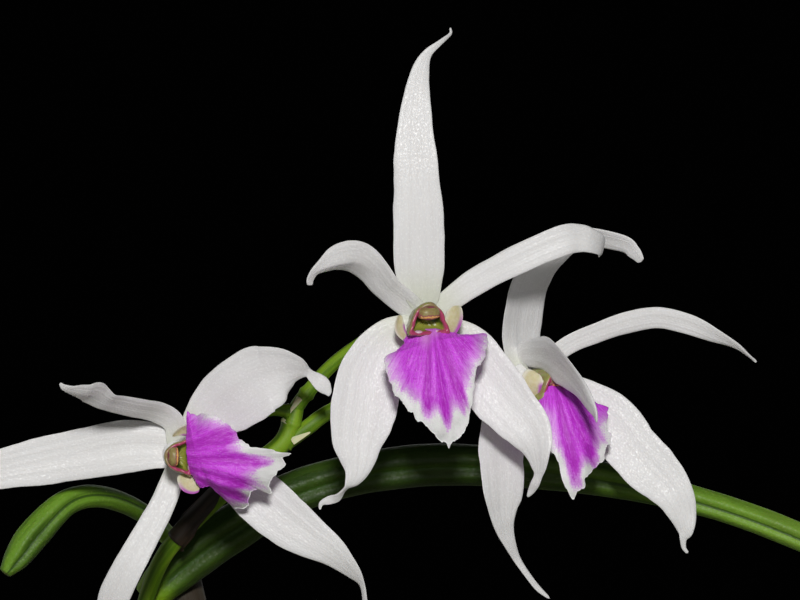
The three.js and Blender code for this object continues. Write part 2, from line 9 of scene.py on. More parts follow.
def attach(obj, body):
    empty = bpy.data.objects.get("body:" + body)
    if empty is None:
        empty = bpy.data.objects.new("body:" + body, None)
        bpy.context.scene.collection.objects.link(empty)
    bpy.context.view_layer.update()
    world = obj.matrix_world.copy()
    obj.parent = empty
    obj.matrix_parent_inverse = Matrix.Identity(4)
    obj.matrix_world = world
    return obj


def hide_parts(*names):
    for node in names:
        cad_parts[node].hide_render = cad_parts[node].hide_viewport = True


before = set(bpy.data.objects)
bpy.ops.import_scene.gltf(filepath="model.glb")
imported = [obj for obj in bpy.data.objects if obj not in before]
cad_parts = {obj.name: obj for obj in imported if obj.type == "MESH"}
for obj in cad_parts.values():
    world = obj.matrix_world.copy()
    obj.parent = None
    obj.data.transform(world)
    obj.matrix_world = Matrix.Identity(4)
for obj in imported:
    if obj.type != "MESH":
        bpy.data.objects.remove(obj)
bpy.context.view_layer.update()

mm = 0.001  # every number below is in millimetres, in the CAD's frame


# A potted Leptotes bicolor, built piece by piece from lines of stations:
# blades (petals, sepals, lips), stalks and leaves are all swept along them.


def through(stations, t):
    # a smooth line through the stations, each a row of numbers; t runs from 0 to 1
    last = len(stations) - 1
    place = min(max(t, 0.0), 1.0) * last
    i = min(int(place), last - 1)
    u = place - i
    b, c = stations[i], stations[i + 1]
    a = stations[i - 1] if i > 0 else [2 * p - q for p, q in zip(b, c)]
    d = stations[i + 2] if i + 2 <= last else [2 * q - p for p, q in zip(b, c)]
    made = []
    for p, q, r, s in zip(a, b, c, d):
        slope0, slope1 = (r - p) / 2, (s - q) / 2
        bend = 3 * (r - q) - 2 * slope0 - slope1
        made.append(q + slope0 * u + bend * u * u + (2 * (q - r) + slope0 + slope1) * u ** 3)
    return made


def direction(stations, t, nudge=0.004):
    ahead, behind = through(stations, t + nudge), through(stations, t - nudge)
    return (Vector(ahead[:3]) - Vector(behind[:3])).normalized()


def walk(stations, facing, places):
    # goes along the line and carries the facing round its bends
    carried, before, length = Vector(facing), None, 0.0
    for t in places:
        row = through(stations, t)
        middle, along = Vector(row[:3]), direction(stations, t)
        if before is not None:
            length += (middle - before).length
        before = middle
        carried = (carried - along * carried.dot(along)).normalized()
        yield t, row[3:], middle, along, carried, length


def closedLine(points, before, after):
    # repeats enough points at either end for the line to run smoothly through its seam
    return points[-before:] + points + points[:after]


def rounded(end, least):
    # how wide a round end still is; end runs from 0 where it starts to close, to 1 at the tip
    return math.sqrt(max(0.0, 1 - min(end, 1.0) ** 2)) * (1 - least) + least


def turns(count, shift=0.0):
    return [2 * math.pi * (j + shift) / count for j in range(count)]


def onCircle(radius, angle, z=0.0):
    return Vector((radius * math.cos(angle), radius * math.sin(angle), z))


def ripple(x, y, z):
    return noise.noise(Vector((x, y, z)))


def newShell():
    # flow is (across, along, kind) and span is the surface laid straight, in mm, for the materials
    return {"places": [], "faces": [], "flow": [], "span": []}


def addPoint(shell, place, flow, span):
    shell["places"].append(place)
    shell["flow"].append(flow)
    shell["span"].append(span)
    return len(shell["places"]) - 1


def skin(shell, rings, closeEnds=True):
    # rings of (place, flow, span) become one closed skin, capped at its ends or joined end to end
    indices = [[addPoint(shell, *one) for one in ring] for ring in rings]
    around = len(rings[0])
    bands = zip(indices, indices[1:]) if closeEnds else zip(indices, indices[1:] + indices[:1])
    for low, high in bands:
        for j in range(around):
            k = (j + 1) % around
            shell["faces"].append((low[j], low[k], high[k], high[j]))
    if closeEnds:
        for ring, row in ((rings[0], indices[0]), (rings[-1], indices[-1])):
            middle = sum((one[0] for one in ring), Vector()) / around
            flow, span = ([sum(one[m][n] for one in ring) / around for n in range(3)] for m in (1, 2))
            centre = addPoint(shell, middle, flow, span)
            for j in range(around):
                shell["faces"].append((row[j], row[(j + 1) % around], centre))


def meshOf(name, shell, origin):
    mesh = bpy.data.meshes.new(name)
    mesh.from_pydata([(place + origin) * mm for place in shell["places"]], [], shell["faces"])
    for key in ("flow", "span"):
        layer = mesh.attributes.new(key, "FLOAT_VECTOR", "POINT")
        layer.data.foreach_set("vector", [number for row in shell[key] for number in row])
    outward = bmesh.new()
    outward.from_mesh(mesh)
    bmesh.ops.recalc_face_normals(outward, faces=outward.faces)
    outward.to_mesh(mesh)
    outward.free()
    return mesh


def linked(name, data):
    made = bpy.data.objects.new(name, data)
    bpy.context.collection.objects.link(made)
    return made


def makePiece(name, shell, material, replaced, at=(0, 0, 0)):
    mesh = meshOf(name, shell, Vector(at))
    mesh.polygons.foreach_set("use_smooth", [True] * len(mesh.polygons))
    mesh.materials.append(material)
    piece = linked(name, mesh)
    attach(piece, "root")
    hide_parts(*replaced)
    return piece


# Materials: each is a small graph of nodes on a Principled shader.


class Paint:
    # one material, with short ways to add nodes to it; a colour is given by its name in the finish

    def __init__(self, name, finish):
        self.finish, self.tone, self.normal = finish, None, None
        self.material = bpy.data.materials.new(name)
        self.material.use_nodes = True
        self.tree = self.material.node_tree
        self.shader = next(n for n in self.tree.nodes if n.type == "BSDF_PRINCIPLED")
        for socket, value in finish["look"].items():
            self.shader.inputs[socket].default_value = value

    def wire(self, kind, inputs, **settings):
        made = self.tree.nodes.new(kind)
        for key, value in settings.items():
            setattr(made, key, value)
        for key, value in inputs.items():
            if isinstance(value, bpy.types.NodeSocket):
                self.tree.links.new(value, made.inputs[key])
            else:
                made.inputs[key].default_value = value
        return made

    def laid(self, layer, stretch=(1, 1, 1)):
        # the surface's own coordinates, stretched
        where = self.wire("ShaderNodeAttribute", {}, attribute_name=layer).outputs["Vector"]
        return self.wire("ShaderNodeMapping", {"Vector": where, "Scale": stretch}).outputs["Vector"]

    def parts(self, layer, axes):
        split = self.wire("ShaderNodeSeparateXYZ", {0: self.laid(layer)})
        return [split.outputs[axis] for axis in axes]

    def joined(self, x, timesX, y, timesY, z=0.0):
        # coordinates put together for streaks
        rows = {"X": self.times(x, timesX), "Y": self.times(y, timesY), "Z": z}
        return self.wire("ShaderNodeCombineXYZ", rows).outputs[0]

    def grain(self, scale, detail=3.0, distortion=0.0, stretch=(1, 1, 1), where=None):
        where = self.laid("span", stretch) if where is None else where
        inputs = {"Vector": where, "Scale": scale, "Detail": detail, "Distortion": distortion}
        return self.wire("ShaderNodeTexNoise", inputs).outputs["Fac"]

    def cells(self, scale, stretch=(1, 1, 1)):
        inputs = {"Vector": self.laid("span", stretch), "Scale": scale}
        return self.wire("ShaderNodeTexVoronoi", inputs).outputs["Distance"]

    def maths(self, operation, first, second=0.0):
        return self.wire("ShaderNodeMath", {0: first, 1: second}, operation=operation).outputs[0]

    def times(self, first, second):
        return self.maths("MULTIPLY", first, second)

    def stirred(self, value, by, amount):
        # a value pushed up and down by a pattern
        return self.maths("ADD", value, self.times(self.maths("SUBTRACT", by, 0.5), amount))

    def spread(self, value, low, high, toLow=0.0, toHigh=1.0):
        inputs = {"Value": value, "From Min": low, "From Max": high, "To Min": toLow, "To Max": toHigh}
        return self.wire("ShaderNodeMapRange", inputs, interpolation_type="SMOOTHSTEP").outputs["Result"]

    def blend(self, amount, first, second):
        first, second = ((*self.finish[end], 1.0) if isinstance(end, str) else end for end in (first, second))
        return self.wire("ShaderNodeMix", {"Factor": amount, 6: first, 7: second}, data_type="RGBA").outputs[2]

    def mix(self, first, second, value, low, high, share=1.0):
        # from the first colour to the second as the value runs from low to high
        return self.blend(self.spread(value, low, high, 0.0, share), first, second)

    def over(self, colour, value, low, high, share=1.0):
        self.tone = self.mix(self.tone, colour, value, low, high, share)

    def bump(self, height, strength, distance):
        inputs = {"Height": height, "Strength": strength, "Distance": distance * mm}
        if self.normal is not None:
            inputs["Normal"] = self.normal
        self.normal = self.wire("ShaderNodeBump", inputs).outputs["Normal"]

    def finished(self, roughness=None):
        for socket, value in (("Base Color", self.tone), ("Normal", self.normal), ("Roughness", roughness)):
            if value is not None:
                self.tree.links.new(value, self.shader.inputs[socket])
        return self.material


# Petals and sepals: white, with glistening cells in rows, bright specks painted in as glints, and a green breath at the
# base.

tepalFinish = {
    "look": {
        "Roughness": 0.42, "Subsurface Weight": 0.2, "Subsurface Radius": (1.0, 0.92, 0.85),
        "Subsurface Scale": 0.0008, "Specular IOR Level": 0.45, "Sheen Weight": 0.06,
    },
    "white": (0.89, 0.885, 0.885),
    "shade": (0.80, 0.785, 0.785),
    # the colour of the painted glints
    "bright": (0.98, 0.98, 0.98),
    "green": (0.70, 0.75, 0.55),
    "cells": 5.0,
}


def tepalMaterial(finish):
    paint = Paint("petalWhite", finish)
    [across, fromBase], [length, layer] = paint.parts("flow", "XY"), paint.parts("span", "YZ")
    veins = paint.grain(1.0, 1.0, where=paint.joined(across, 6.0, length, 0.05, layer))
    threads = paint.grain(1.0, 2.0, where=paint.joined(across, 19.0, length, 0.16, layer))
    paintedGlints = paint.grain(6.0, 1.0, stretch=(1.0, 0.75, 1.0))
    cloud = paint.grain(0.6, 2.0, stretch=(0.4, 0.14, 0.4))
    paint.tone = paint.mix("white", "shade", cloud, 0.4, 0.75, 0.5)
    paint.over("shade", threads, 0.48, 0.68, 0.35)
    paint.over("shade", veins, 0.5, 0.7, 0.4)
    # painted highlight: bright specks stand in for glints off the cells
    paint.over("bright", paintedGlints, 0.56, 0.70, 0.75)
    paint.over("green", fromBase, 0.12, 0.01, 0.55)
    paint.bump(veins, 0.35, 0.10)
    paint.bump(threads, 0.25, 0.03)
    paint.bump(paint.cells(finish["cells"], (1.0, 0.6, 1.0)), 0.36, -0.045)
    return paint.finished(paint.spread(paintedGlints, 0.4, 0.7, 0.56, 0.34))


# The lip: magenta in streaks that run out from the throat to a white, frilled margin.

lipFinish = {
    "look": {
        "Roughness": 0.5, "Subsurface Weight": 0.12, "Subsurface Radius": (1.0, 0.6, 0.9),
        "Subsurface Scale": 0.0006, "Specular IOR Level": 0.35,
    },
    "bright": (0.78, 0.085, 0.98),
    "deep": (0.50, 0.022, 0.58),
    "lilac": (0.80, 0.38, 0.92),
    "haze": (0.82, 0.46, 0.80),
    "white": (0.96, 0.95, 0.96),
    "cream": (0.70, 0.63, 0.36),
    "milk": (0.84, 0.80, 0.66),
    "rim": (0.56, 0.13, 0.55),
}


def lipMaterial(finish):
    # flow is (angle about the throat, mm in from the white edge, haze; 2 and 3 are the ears), span.Z the painted shade
    # of the pleats
    paint, flat = Paint("lipMagenta", finish), (1, 1, 0)
    [angle, inward, kind], [pleat] = paint.parts("flow", "XYZ"), paint.parts("span", "Z")
    reach = paint.wire("ShaderNodeVectorMath", {0: paint.laid("span", flat)}, operation="LENGTH").outputs["Value"]
    streaks = paint.grain(1.0, 2.0, 0.4, where=paint.joined(angle, 20.0, reach, 0.3))
    hairs = paint.grain(1.0, 2.0, 0.5, where=paint.joined(angle, 60.0, reach, 1.6))
    dots = paint.grain(6.5, 1.0, stretch=flat)
    pleatShade = paint.spread(pleat, 0.05, 1.0)
    paint.tone = paint.mix("bright", "deep", streaks, 0.42, 0.72, 0.7)
    paint.over("deep", hairs, 0.50, 0.68, 0.5)
    paint.over("lilac", hairs, 0.46, 0.30, 0.25)
    paint.over("lilac", dots, 0.58, 0.70, 0.35)
    paint.over("deep", dots, 0.44, 0.32, 0.3)
    # painted shade: the pleat valleys are darkened towards deep magenta
    paint.tone = paint.blend(paint.times(pleatShade, paint.spread(hairs, 0.3, 0.6, 0.45, 0.95)), paint.tone, "deep")
    paint.tone = paint.blend(paint.times(kind, 0.75), paint.tone, "haze")
    # streaks and the pleats' painted shade run out into the margin, and the claw has none
    margin = paint.maths("ADD", inward, paint.times(kind, 3.0))
    for pattern, amount in ((streaks, 1.5), (hairs, 0.9), (dots, 1.2)):
        margin = paint.stirred(margin, pattern, amount)
    margin = paint.maths("ADD", margin, paint.times(pleatShade, 1.5))
    paint.tone = paint.mix("lilac", paint.tone, margin, 0.25, 1.9)
    paint.tone = paint.mix("white", paint.tone, margin, -0.35, 0.75)
    # the ears: cream, with a purple line along one edge
    side = paint.times(angle, paint.spread(kind, 2.4, 2.6, 1.0, -1.0))
    ear = paint.mix("cream", "milk", paint.grain(2.6), 0.3, 0.7, 0.35)
    ear = paint.mix(ear, "milk", paint.maths("ABSOLUTE", angle), 0.45, 0.9)
    ear = paint.blend(paint.times(paint.spread(side, 0.45, 0.85), paint.spread(inward, 0.75, 0.40)), ear, "rim")
    paint.over(ear, kind, 1.4, 1.6)
    paint.bump(streaks, 0.4, 0.14)
    paint.bump(hairs, 0.3, 0.05)
    paint.bump(paint.cells(5.5, flat), 0.35, -0.05)
    return paint.finished()


# The column: a hooded post with a pink rim round a green hollow.

columnFinish = {
    "look": {"Roughness": 0.3, "Subsurface Weight": 0.12, "Subsurface Scale": 0.0005, "Specular IOR Level": 0.5},
    "outside": (0.33, 0.36, 0.10),
    "hood": (0.34, 0.25, 0.12),
    "rim": (0.46, 0.06, 0.15),
    # painted shade and painted light of the hollow
    "paintedHollowShade": (0.045, 0.075, 0.006),
    "paintedHollowLight": (0.30, 0.32, 0.05),
    "knob": (0.78, 0.52, 0.66),
}


def columnMaterial(finish):
    # flow is (height, outside to inside, knob)
    paint = Paint("columnGreen", finish)
    height, within, knob = paint.parts("flow", "XYZ")
    mottle = paint.grain(1.7)
    outer = paint.mix("outside", "hood", mottle, 0.38, 0.62)
    # painted shade and light: the hollow is dark green high up under the hood and bright yellow-green lower down
    inner = paint.mix("paintedHollowLight", "paintedHollowShade", paint.stirred(height, mottle, 0.5), 0.16, 0.36)
    paint.tone = paint.mix(outer, paint.mix("rim", "hood", height, 0.72, 0.98), within, 0.45, 0.53)
    paint.over(inner, within, 0.64, 0.74)
    paint.over("knob", knob, 0.4, 0.6)
    paint.bump(mottle, 0.3, 0.12)
    return paint.finished()


antherFinish = {
    "look": {"Roughness": 0.42, "Subsurface Weight": 0.1, "Subsurface Scale": 0.0004},
    "tan": (0.30, 0.20, 0.08),
    "cream": (0.36, 0.31, 0.11),
    "violet": (0.32, 0.06, 0.12),
    "gold": (0.95, 0.56, 0.16),
}


def antherMaterial(finish):
    # flow is (sideways, height): a gold line runs between violet ones near the lower edge
    paint = Paint("antherTan", finish)
    sideways, height = paint.parts("flow", "XY")
    mottle = paint.grain(2.0)
    height = paint.stirred(height, mottle, 0.40)
    paint.tone = paint.mix("tan", "cream", mottle, 0.35, 0.65)
    paint.over("violet", height, 0.38, 0.30)
    paint.over("gold", height, 0.29, 0.24)
    paint.over("violet", height, 0.17, 0.12)
    ends = paint.spread(paint.maths("ABSOLUTE", sideways), 0.86, 0.95)
    paint.tone = paint.blend(paint.maths("MAXIMUM", paint.spread(height, 0.86, 0.95), ends), paint.tone, "violet")
    paint.bump(mottle, 0.25, 0.08)
    return paint.finished()


# Leaves: fleshy, finely pimpled, with pale lengthwise lights and a groove line painted dark as shade.

leafFinish = {
    "look": {"Roughness": 0.55, "Specular IOR Level": 0.34, "Subsurface Weight": 0.06, "Subsurface Scale": 0.0006},
    "deep": (0.060, 0.135, 0.010),
    "fresh": (0.165, 0.330, 0.026),
    "pale": (0.40, 0.52, 0.14),
    # painted shade in the groove
    "groove": (0.032, 0.080, 0.006),
    # painted light near the flowering leaf's tip
    "paintedLitGreen": (0.28, 0.49, 0.055),
    # the leaves' foot: its own paler green, brightened further as painted light
    "base": (0.26, 0.46, 0.012),
    # painted shade along the flowering leaf's middle
    "paintedShade": (0.016, 0.036, 0.005),
    "tip": (0.16, 0.12, 0.03),
}


def leafMaterial(finish):
    # flow is (1 in the groove, along, 1 on the flowering growth)
    paint = Paint("leafGreen", finish)
    facing, along, flowering = paint.parts("flow", "XYZ")
    stripes = paint.grain(1.0, 4.0, stretch=(0.9, 0.05, 0.9))
    cloud = paint.grain(1.0, stretch=(0.3, 0.12, 0.3))
    pimples = paint.cells(2.3, (1.0, 0.8, 1.0))
    fine = paint.grain(4.5)
    paint.tone = paint.mix("deep", "fresh", stripes, 0.38, 0.62)
    paint.over("fresh", cloud, 0.45, 0.7, 0.7)
    paint.over("deep", along, 0.4, 0.0, 0.5)
    # painted light brightens the flowering leaf near its tip, and painted shade darkens it from its foot to the middle
    paintedLight = paint.spread(along, 0.6, 0.85, 0.0, 0.75)
    paintedShade = paint.times(paint.spread(along, 0.05, 0.15, 0.0, 0.8), paint.spread(along, 0.72, 0.5))
    paint.tone = paint.blend(paint.times(flowering, paintedLight), paint.tone, "paintedLitGreen")
    paint.over("pale", pimples, 0.30, 0.05, 0.25)
    paint.tone = paint.blend(paint.times(flowering, paintedShade), paint.tone, "paintedShade")
    # painted shade: a thin dark line along the bottom of the groove
    paint.over("groove", facing, 0.985, 0.998, 0.9)
    # partly painted light: each leaf's foot is its own paler yellow-green, brightened further to stand in for light
    # falling there
    paint.over("base", along, 0.10, 0.02, 0.9)
    paint.over("tip", along, 0.985, 1.0, 0.5)
    paint.bump(stripes, 0.22, 0.12)
    paint.bump(pimples, 0.4, -0.12)
    paint.bump(fine, 0.35, 0.06)
    return paint.finished(paint.spread(fine, 0.35, 0.7, 0.46, 0.66))


# Flower stem: yellow-green, smooth, paler at the joints and bracts.

stemFinish = {
    "look": {"Roughness": 0.52, "Specular IOR Level": 0.35, "Subsurface Weight": 0.12, "Subsurface Scale": 0.0007},
    "green": (0.085, 0.19, 0.004),
    "yellow": (0.22, 0.38, 0.018),
    "cream": (0.66, 0.64, 0.38),
    "olive": (0.12, 0.14, 0.01),
    # the dry sleeve's browns, darkened nearly to black as painted shade
    "brown": (0.014, 0.009, 0.006),
    "paper": (0.032, 0.021, 0.013),
}


def stemMaterial(finish):
    # flow.Z is 0 on the stem, 1 on the bracts and 2 on the dry sleeve, whose brown is darkened nearly to black as
    # painted shade
    paint = Paint("stemGreen", finish)
    [kind] = paint.parts("flow", "Z")
    streaks = paint.grain(1.0, stretch=(1.6, 0.12, 1.6))
    paint.tone = paint.mix("green", "yellow", streaks, 0.35, 0.65)
    paint.over("olive", paint.grain(1.1), 0.58, 0.78, 0.25)
    paint.over("cream", kind, 0.5, 1.0)
    # painted shade: the dry sleeve is laid nearly black
    paint.over(paint.mix("brown", "paper", streaks, 0.4, 0.6), kind, 1.3, 1.7)
    paint.bump(streaks, 0.3, 0.08)
    return paint.finished()


# Stem skins and old sheaths: green flesh below papery, veined brown and white.

sheathFinish = {
    "look": {"Roughness": 0.62, "Specular IOR Level": 0.3},
    "flesh": (0.26, 0.36, 0.08),
    "flush": (0.40, 0.46, 0.16),
    "paper": (0.62, 0.56, 0.42),
    "brown": (0.30, 0.20, 0.11),
    "light": (0.74, 0.72, 0.58),
    # old paper's brown, darkened nearly to black as painted shade
    "oldShadedPaper": (0.018, 0.012, 0.008),
}


def sheathMaterial(finish):
    # flow.Z is 0 on the flesh, 1 on dry paper and 2 on old, brown paper, darkened nearly to black as painted shade
    paint = Paint("drySheath", finish)
    along, kind = paint.parts("flow", "YZ")
    lines = paint.grain(1.0, 4.0, stretch=(3.2, 0.09, 3.2))
    blots = paint.grain(1.0, 4.0, stretch=(0.5, 0.25, 0.5))
    paint.tone = paint.mix("paper", "light", lines, 0.4, 0.62)
    paint.over("brown", blots, 0.46, 0.62, 0.85)
    paint.over("light", along, 0.8, 1.0, 0.7)
    paint.tone = paint.mix(paint.mix("flesh", "flush", lines, 0.35, 0.65), paint.tone, kind, 0.3, 0.7)
    # painted shade on the old sleeves
    paint.over("oldShadedPaper", kind, 1.3, 1.7, 0.93)
    paint.bump(lines, 0.6, 0.14)
    return paint.finished()


# Rhizome and roots: knobbly and scaly, and chalky velamen.

rootFinish = {
    "look": {"Roughness": 0.8, "Specular IOR Level": 0.25},
    "chalk": (0.66, 0.65, 0.56),
    "shade": (0.42, 0.41, 0.32),
    "scale": (0.36, 0.26, 0.15),
    "wood": (0.26, 0.25, 0.12),
}


def rootMaterial(finish):
    # flow.Z is 0 on the roots and 1 on the rhizome
    paint = Paint("rootChalk", finish)
    along, kind = paint.parts("flow", "YZ")
    blots = paint.grain(0.9, 4.0)
    paint.tone = paint.mix("chalk", "shade", blots, 0.4, 0.7)
    paint.over("wood", along, 0.06, 0.0, 0.7)
    paint.over(paint.mix("wood", "scale", blots, 0.38, 0.6), kind, 0.3, 0.7)
    paint.bump(blots, 0.4, 0.25)
    paint.bump(paint.grain(5.0), 0.4, 0.08)
    return paint.finished()


# Pot: turned terracotta with water marks and lime.

clayFinish = {
    "look": {"Roughness": 0.86, "Specular IOR Level": 0.25},
    "clay": (0.46, 0.19, 0.095),
    "light": (0.58, 0.28, 0.16),
    "dark": (0.30, 0.12, 0.065),
    "lime": (0.68, 0.58, 0.48),
}


def clayMaterial(finish):
    # flow.Y is the height up the pot
    paint = Paint("terracotta", finish)
    [height] = paint.parts("flow", "Y")
    cloud = paint.grain(1.6, 5.0, 0.3, stretch=(0.03, 0.03, 0.03))
    fine = paint.grain(1.4, 6.0)
    turning = paint.grain(1.0, 2.0, stretch=(0.01, 0.01, 1.3))
    limeLine = paint.stirred(height, cloud, 1.2)
    paint.tone = paint.mix("clay", "light", cloud, 0.35, 0.68)
    paint.over("dark", fine, 0.5, 0.72, 0.5)
    paint.over("dark", paint.cells(1.1), 0.16, 0.04, 0.55)
    paint.over("lime", limeLine, 0.86, 1.05, 0.55)
    paint.over("lime", limeLine, 0.12, -0.05, 0.5)
    paint.bump(turning, 0.35, 0.35)
    paint.bump(fine, 0.35, 0.2)
    return paint.finished()


# Bark chips: layered red-brown, with pale broken edges and dark cork.

barkFinish = {
    "look": {"Roughness": 0.88, "Specular IOR Level": 0.25},
    "red": (0.23, 0.115, 0.06),
    "brown": (0.13, 0.075, 0.045),
    "pale": (0.40, 0.26, 0.16),
    "cork": (0.06, 0.038, 0.026),
}


def barkMaterial(finish):
    # flow.Z is the chip's own tone
    paint = Paint("firBark", finish)
    [chipTone] = paint.parts("flow", "Z")
    layers = paint.grain(1.0, 5.0, 0.4, stretch=(0.25, 0.5, 2.2))
    cloud = paint.grain(1.0, 4.0, stretch=(0.3, 0.3, 0.3))
    cracks = paint.cells(1.0, (0.35, 0.8, 0.9))
    paint.tone = paint.mix("brown", "red", layers, 0.38, 0.62)
    paint.over("pale", cloud, 0.5, 0.72, 0.7)
    paint.over("cork", chipTone, 0.55, 1.0, 0.6)
    paint.over("pale", chipTone, 0.35, 0.0, 0.45)
    paint.over("cork", cracks, 0.14, 0.02, 0.8)
    paint.bump(layers, 0.7, 0.5)
    paint.bump(cracks, 0.5, 0.4)
    return paint.finished()


petalWhite = tepalMaterial(tepalFinish)
lipMagenta = lipMaterial(lipFinish)
columnGreen = columnMaterial(columnFinish)
antherTan = antherMaterial(antherFinish)
leafGreen = leafMaterial(leafFinish)
stemGreen = stemMaterial(stemFinish)
drySheath = sheathMaterial(sheathFinish)
rootChalk = rootMaterial(rootFinish)
terracotta = clayMaterial(clayFinish)
firBark = barkMaterial(barkFinish)
print("materials ready")


# Blades


def blade(shell, stations, facing, look, seed=0, kind=0.0):
    # stations are (x, y, z, width, roll, cup, fold); the face starts towards facing and is carried along the bends
    defaults = (0, 0, 0, 1, 0, look["cup"], 0)
    rows = [list(row) + list(defaults[len(row):]) for row in stations]
    steps, rings = look["steps"], []
    # steps bunch up towards both ends, where the outline turns fastest
    places = [0.35 * (0.5 - 0.5 * math.cos(math.pi * i / steps)) + 0.65 * i / steps for i in range(steps + 1)]
    for t, (width, roll, cup, fold), middle, along, carried, length in walk(rows, facing, places):
        width = max(width, 0.16)
        face = Matrix.Rotation(math.radians(roll), 3, along) @ carried
        side = along.cross(face)
        close = rounded(max(0.0, (t - look["tipFrom"]) / (1 - look["tipFrom"]), 1 - t / 0.03), 0.03)
        wobble = 1 + look["outline"] * ripple(seed * 7.3, length * 0.35, 0)
        slim, calm = min(1.0, width / 2.4) ** 0.6, min(1.0, width / 3.5)
        ring = []
        for angle in turns(look["points"], 0.5):
            s, isFront = math.cos(angle), math.sin(angle) > 0
            edge = abs(s)
            body = (1 - edge ** look["blunt"]) ** 0.6
            frill = edge ** 3 * math.sin(2 * math.pi * look["waves"] * t + (2.1 if s > 0 else 0.4) + seed)
            frill += 0.7 * edge ** 2 * ripple(s * 1.5 + seed, t * look["waves"] * 1.7, seed)
            crimp = 1 + look["crimp"] * ripple(length * 0.9, s * 0.5, seed + 3.0) * edge ** 4
            ribs = look["rib"] * math.cos(math.pi * look["ribs"] * s) * body * min(1.0, t * 6) * calm
            keel = -look["keel"] * math.exp(-(s / 0.09) ** 2) * min(1.0, t * 5) * (1 - t) * calm
            half = look["thick"] * slim * close * body / 2
            lift = cup * width * s * s / 2 + look["ruffle"] * frill * calm - look["thick"] / 2
            lift -= abs(fold) * max(0.0, s if fold > 0 else -s) * width / 2
            lift += (half + ribs + keel) if isFront else -half + ribs * 0.6 + keel
            place = middle + side * (s * width * wobble * crimp * close / 2) + face * lift
            ring.append((place, (s, t, kind), (s * width / 2, length, (0.3 if isFront else -0.3) + seed * 3)))
        rings.append(ring)
    skin(shell, rings)


clawLook = {
    "steps": 28, "points": 24, "thick": 0.8, "blunt": 3.0, "cup": 0.3, "tipFrom": 0.98, "ruffle": 0.0, "waves": 1,
    "outline": 0.0, "crimp": 0.0, "rib": 0.0, "ribs": 1, "keel": 0.0,
}
earLook = {
    **clawLook, "points": 32, "thick": 0.4, "tipFrom": 0.9, "ruffle": 0.10, "waves": 1.2, "outline": 0.04,
    "crimp": 0.05,
}
tepalLook = {
    "steps": 84, "points": 44, "thick": 0.6, "blunt": 2.2, "cup": 0.12, "tipFrom": 0.985, "ruffle": 0.12, "waves": 2.2,
    "outline": 0.05, "crimp": 0.02, "rib": 0.022, "ribs": 5, "keel": 0.10,
}

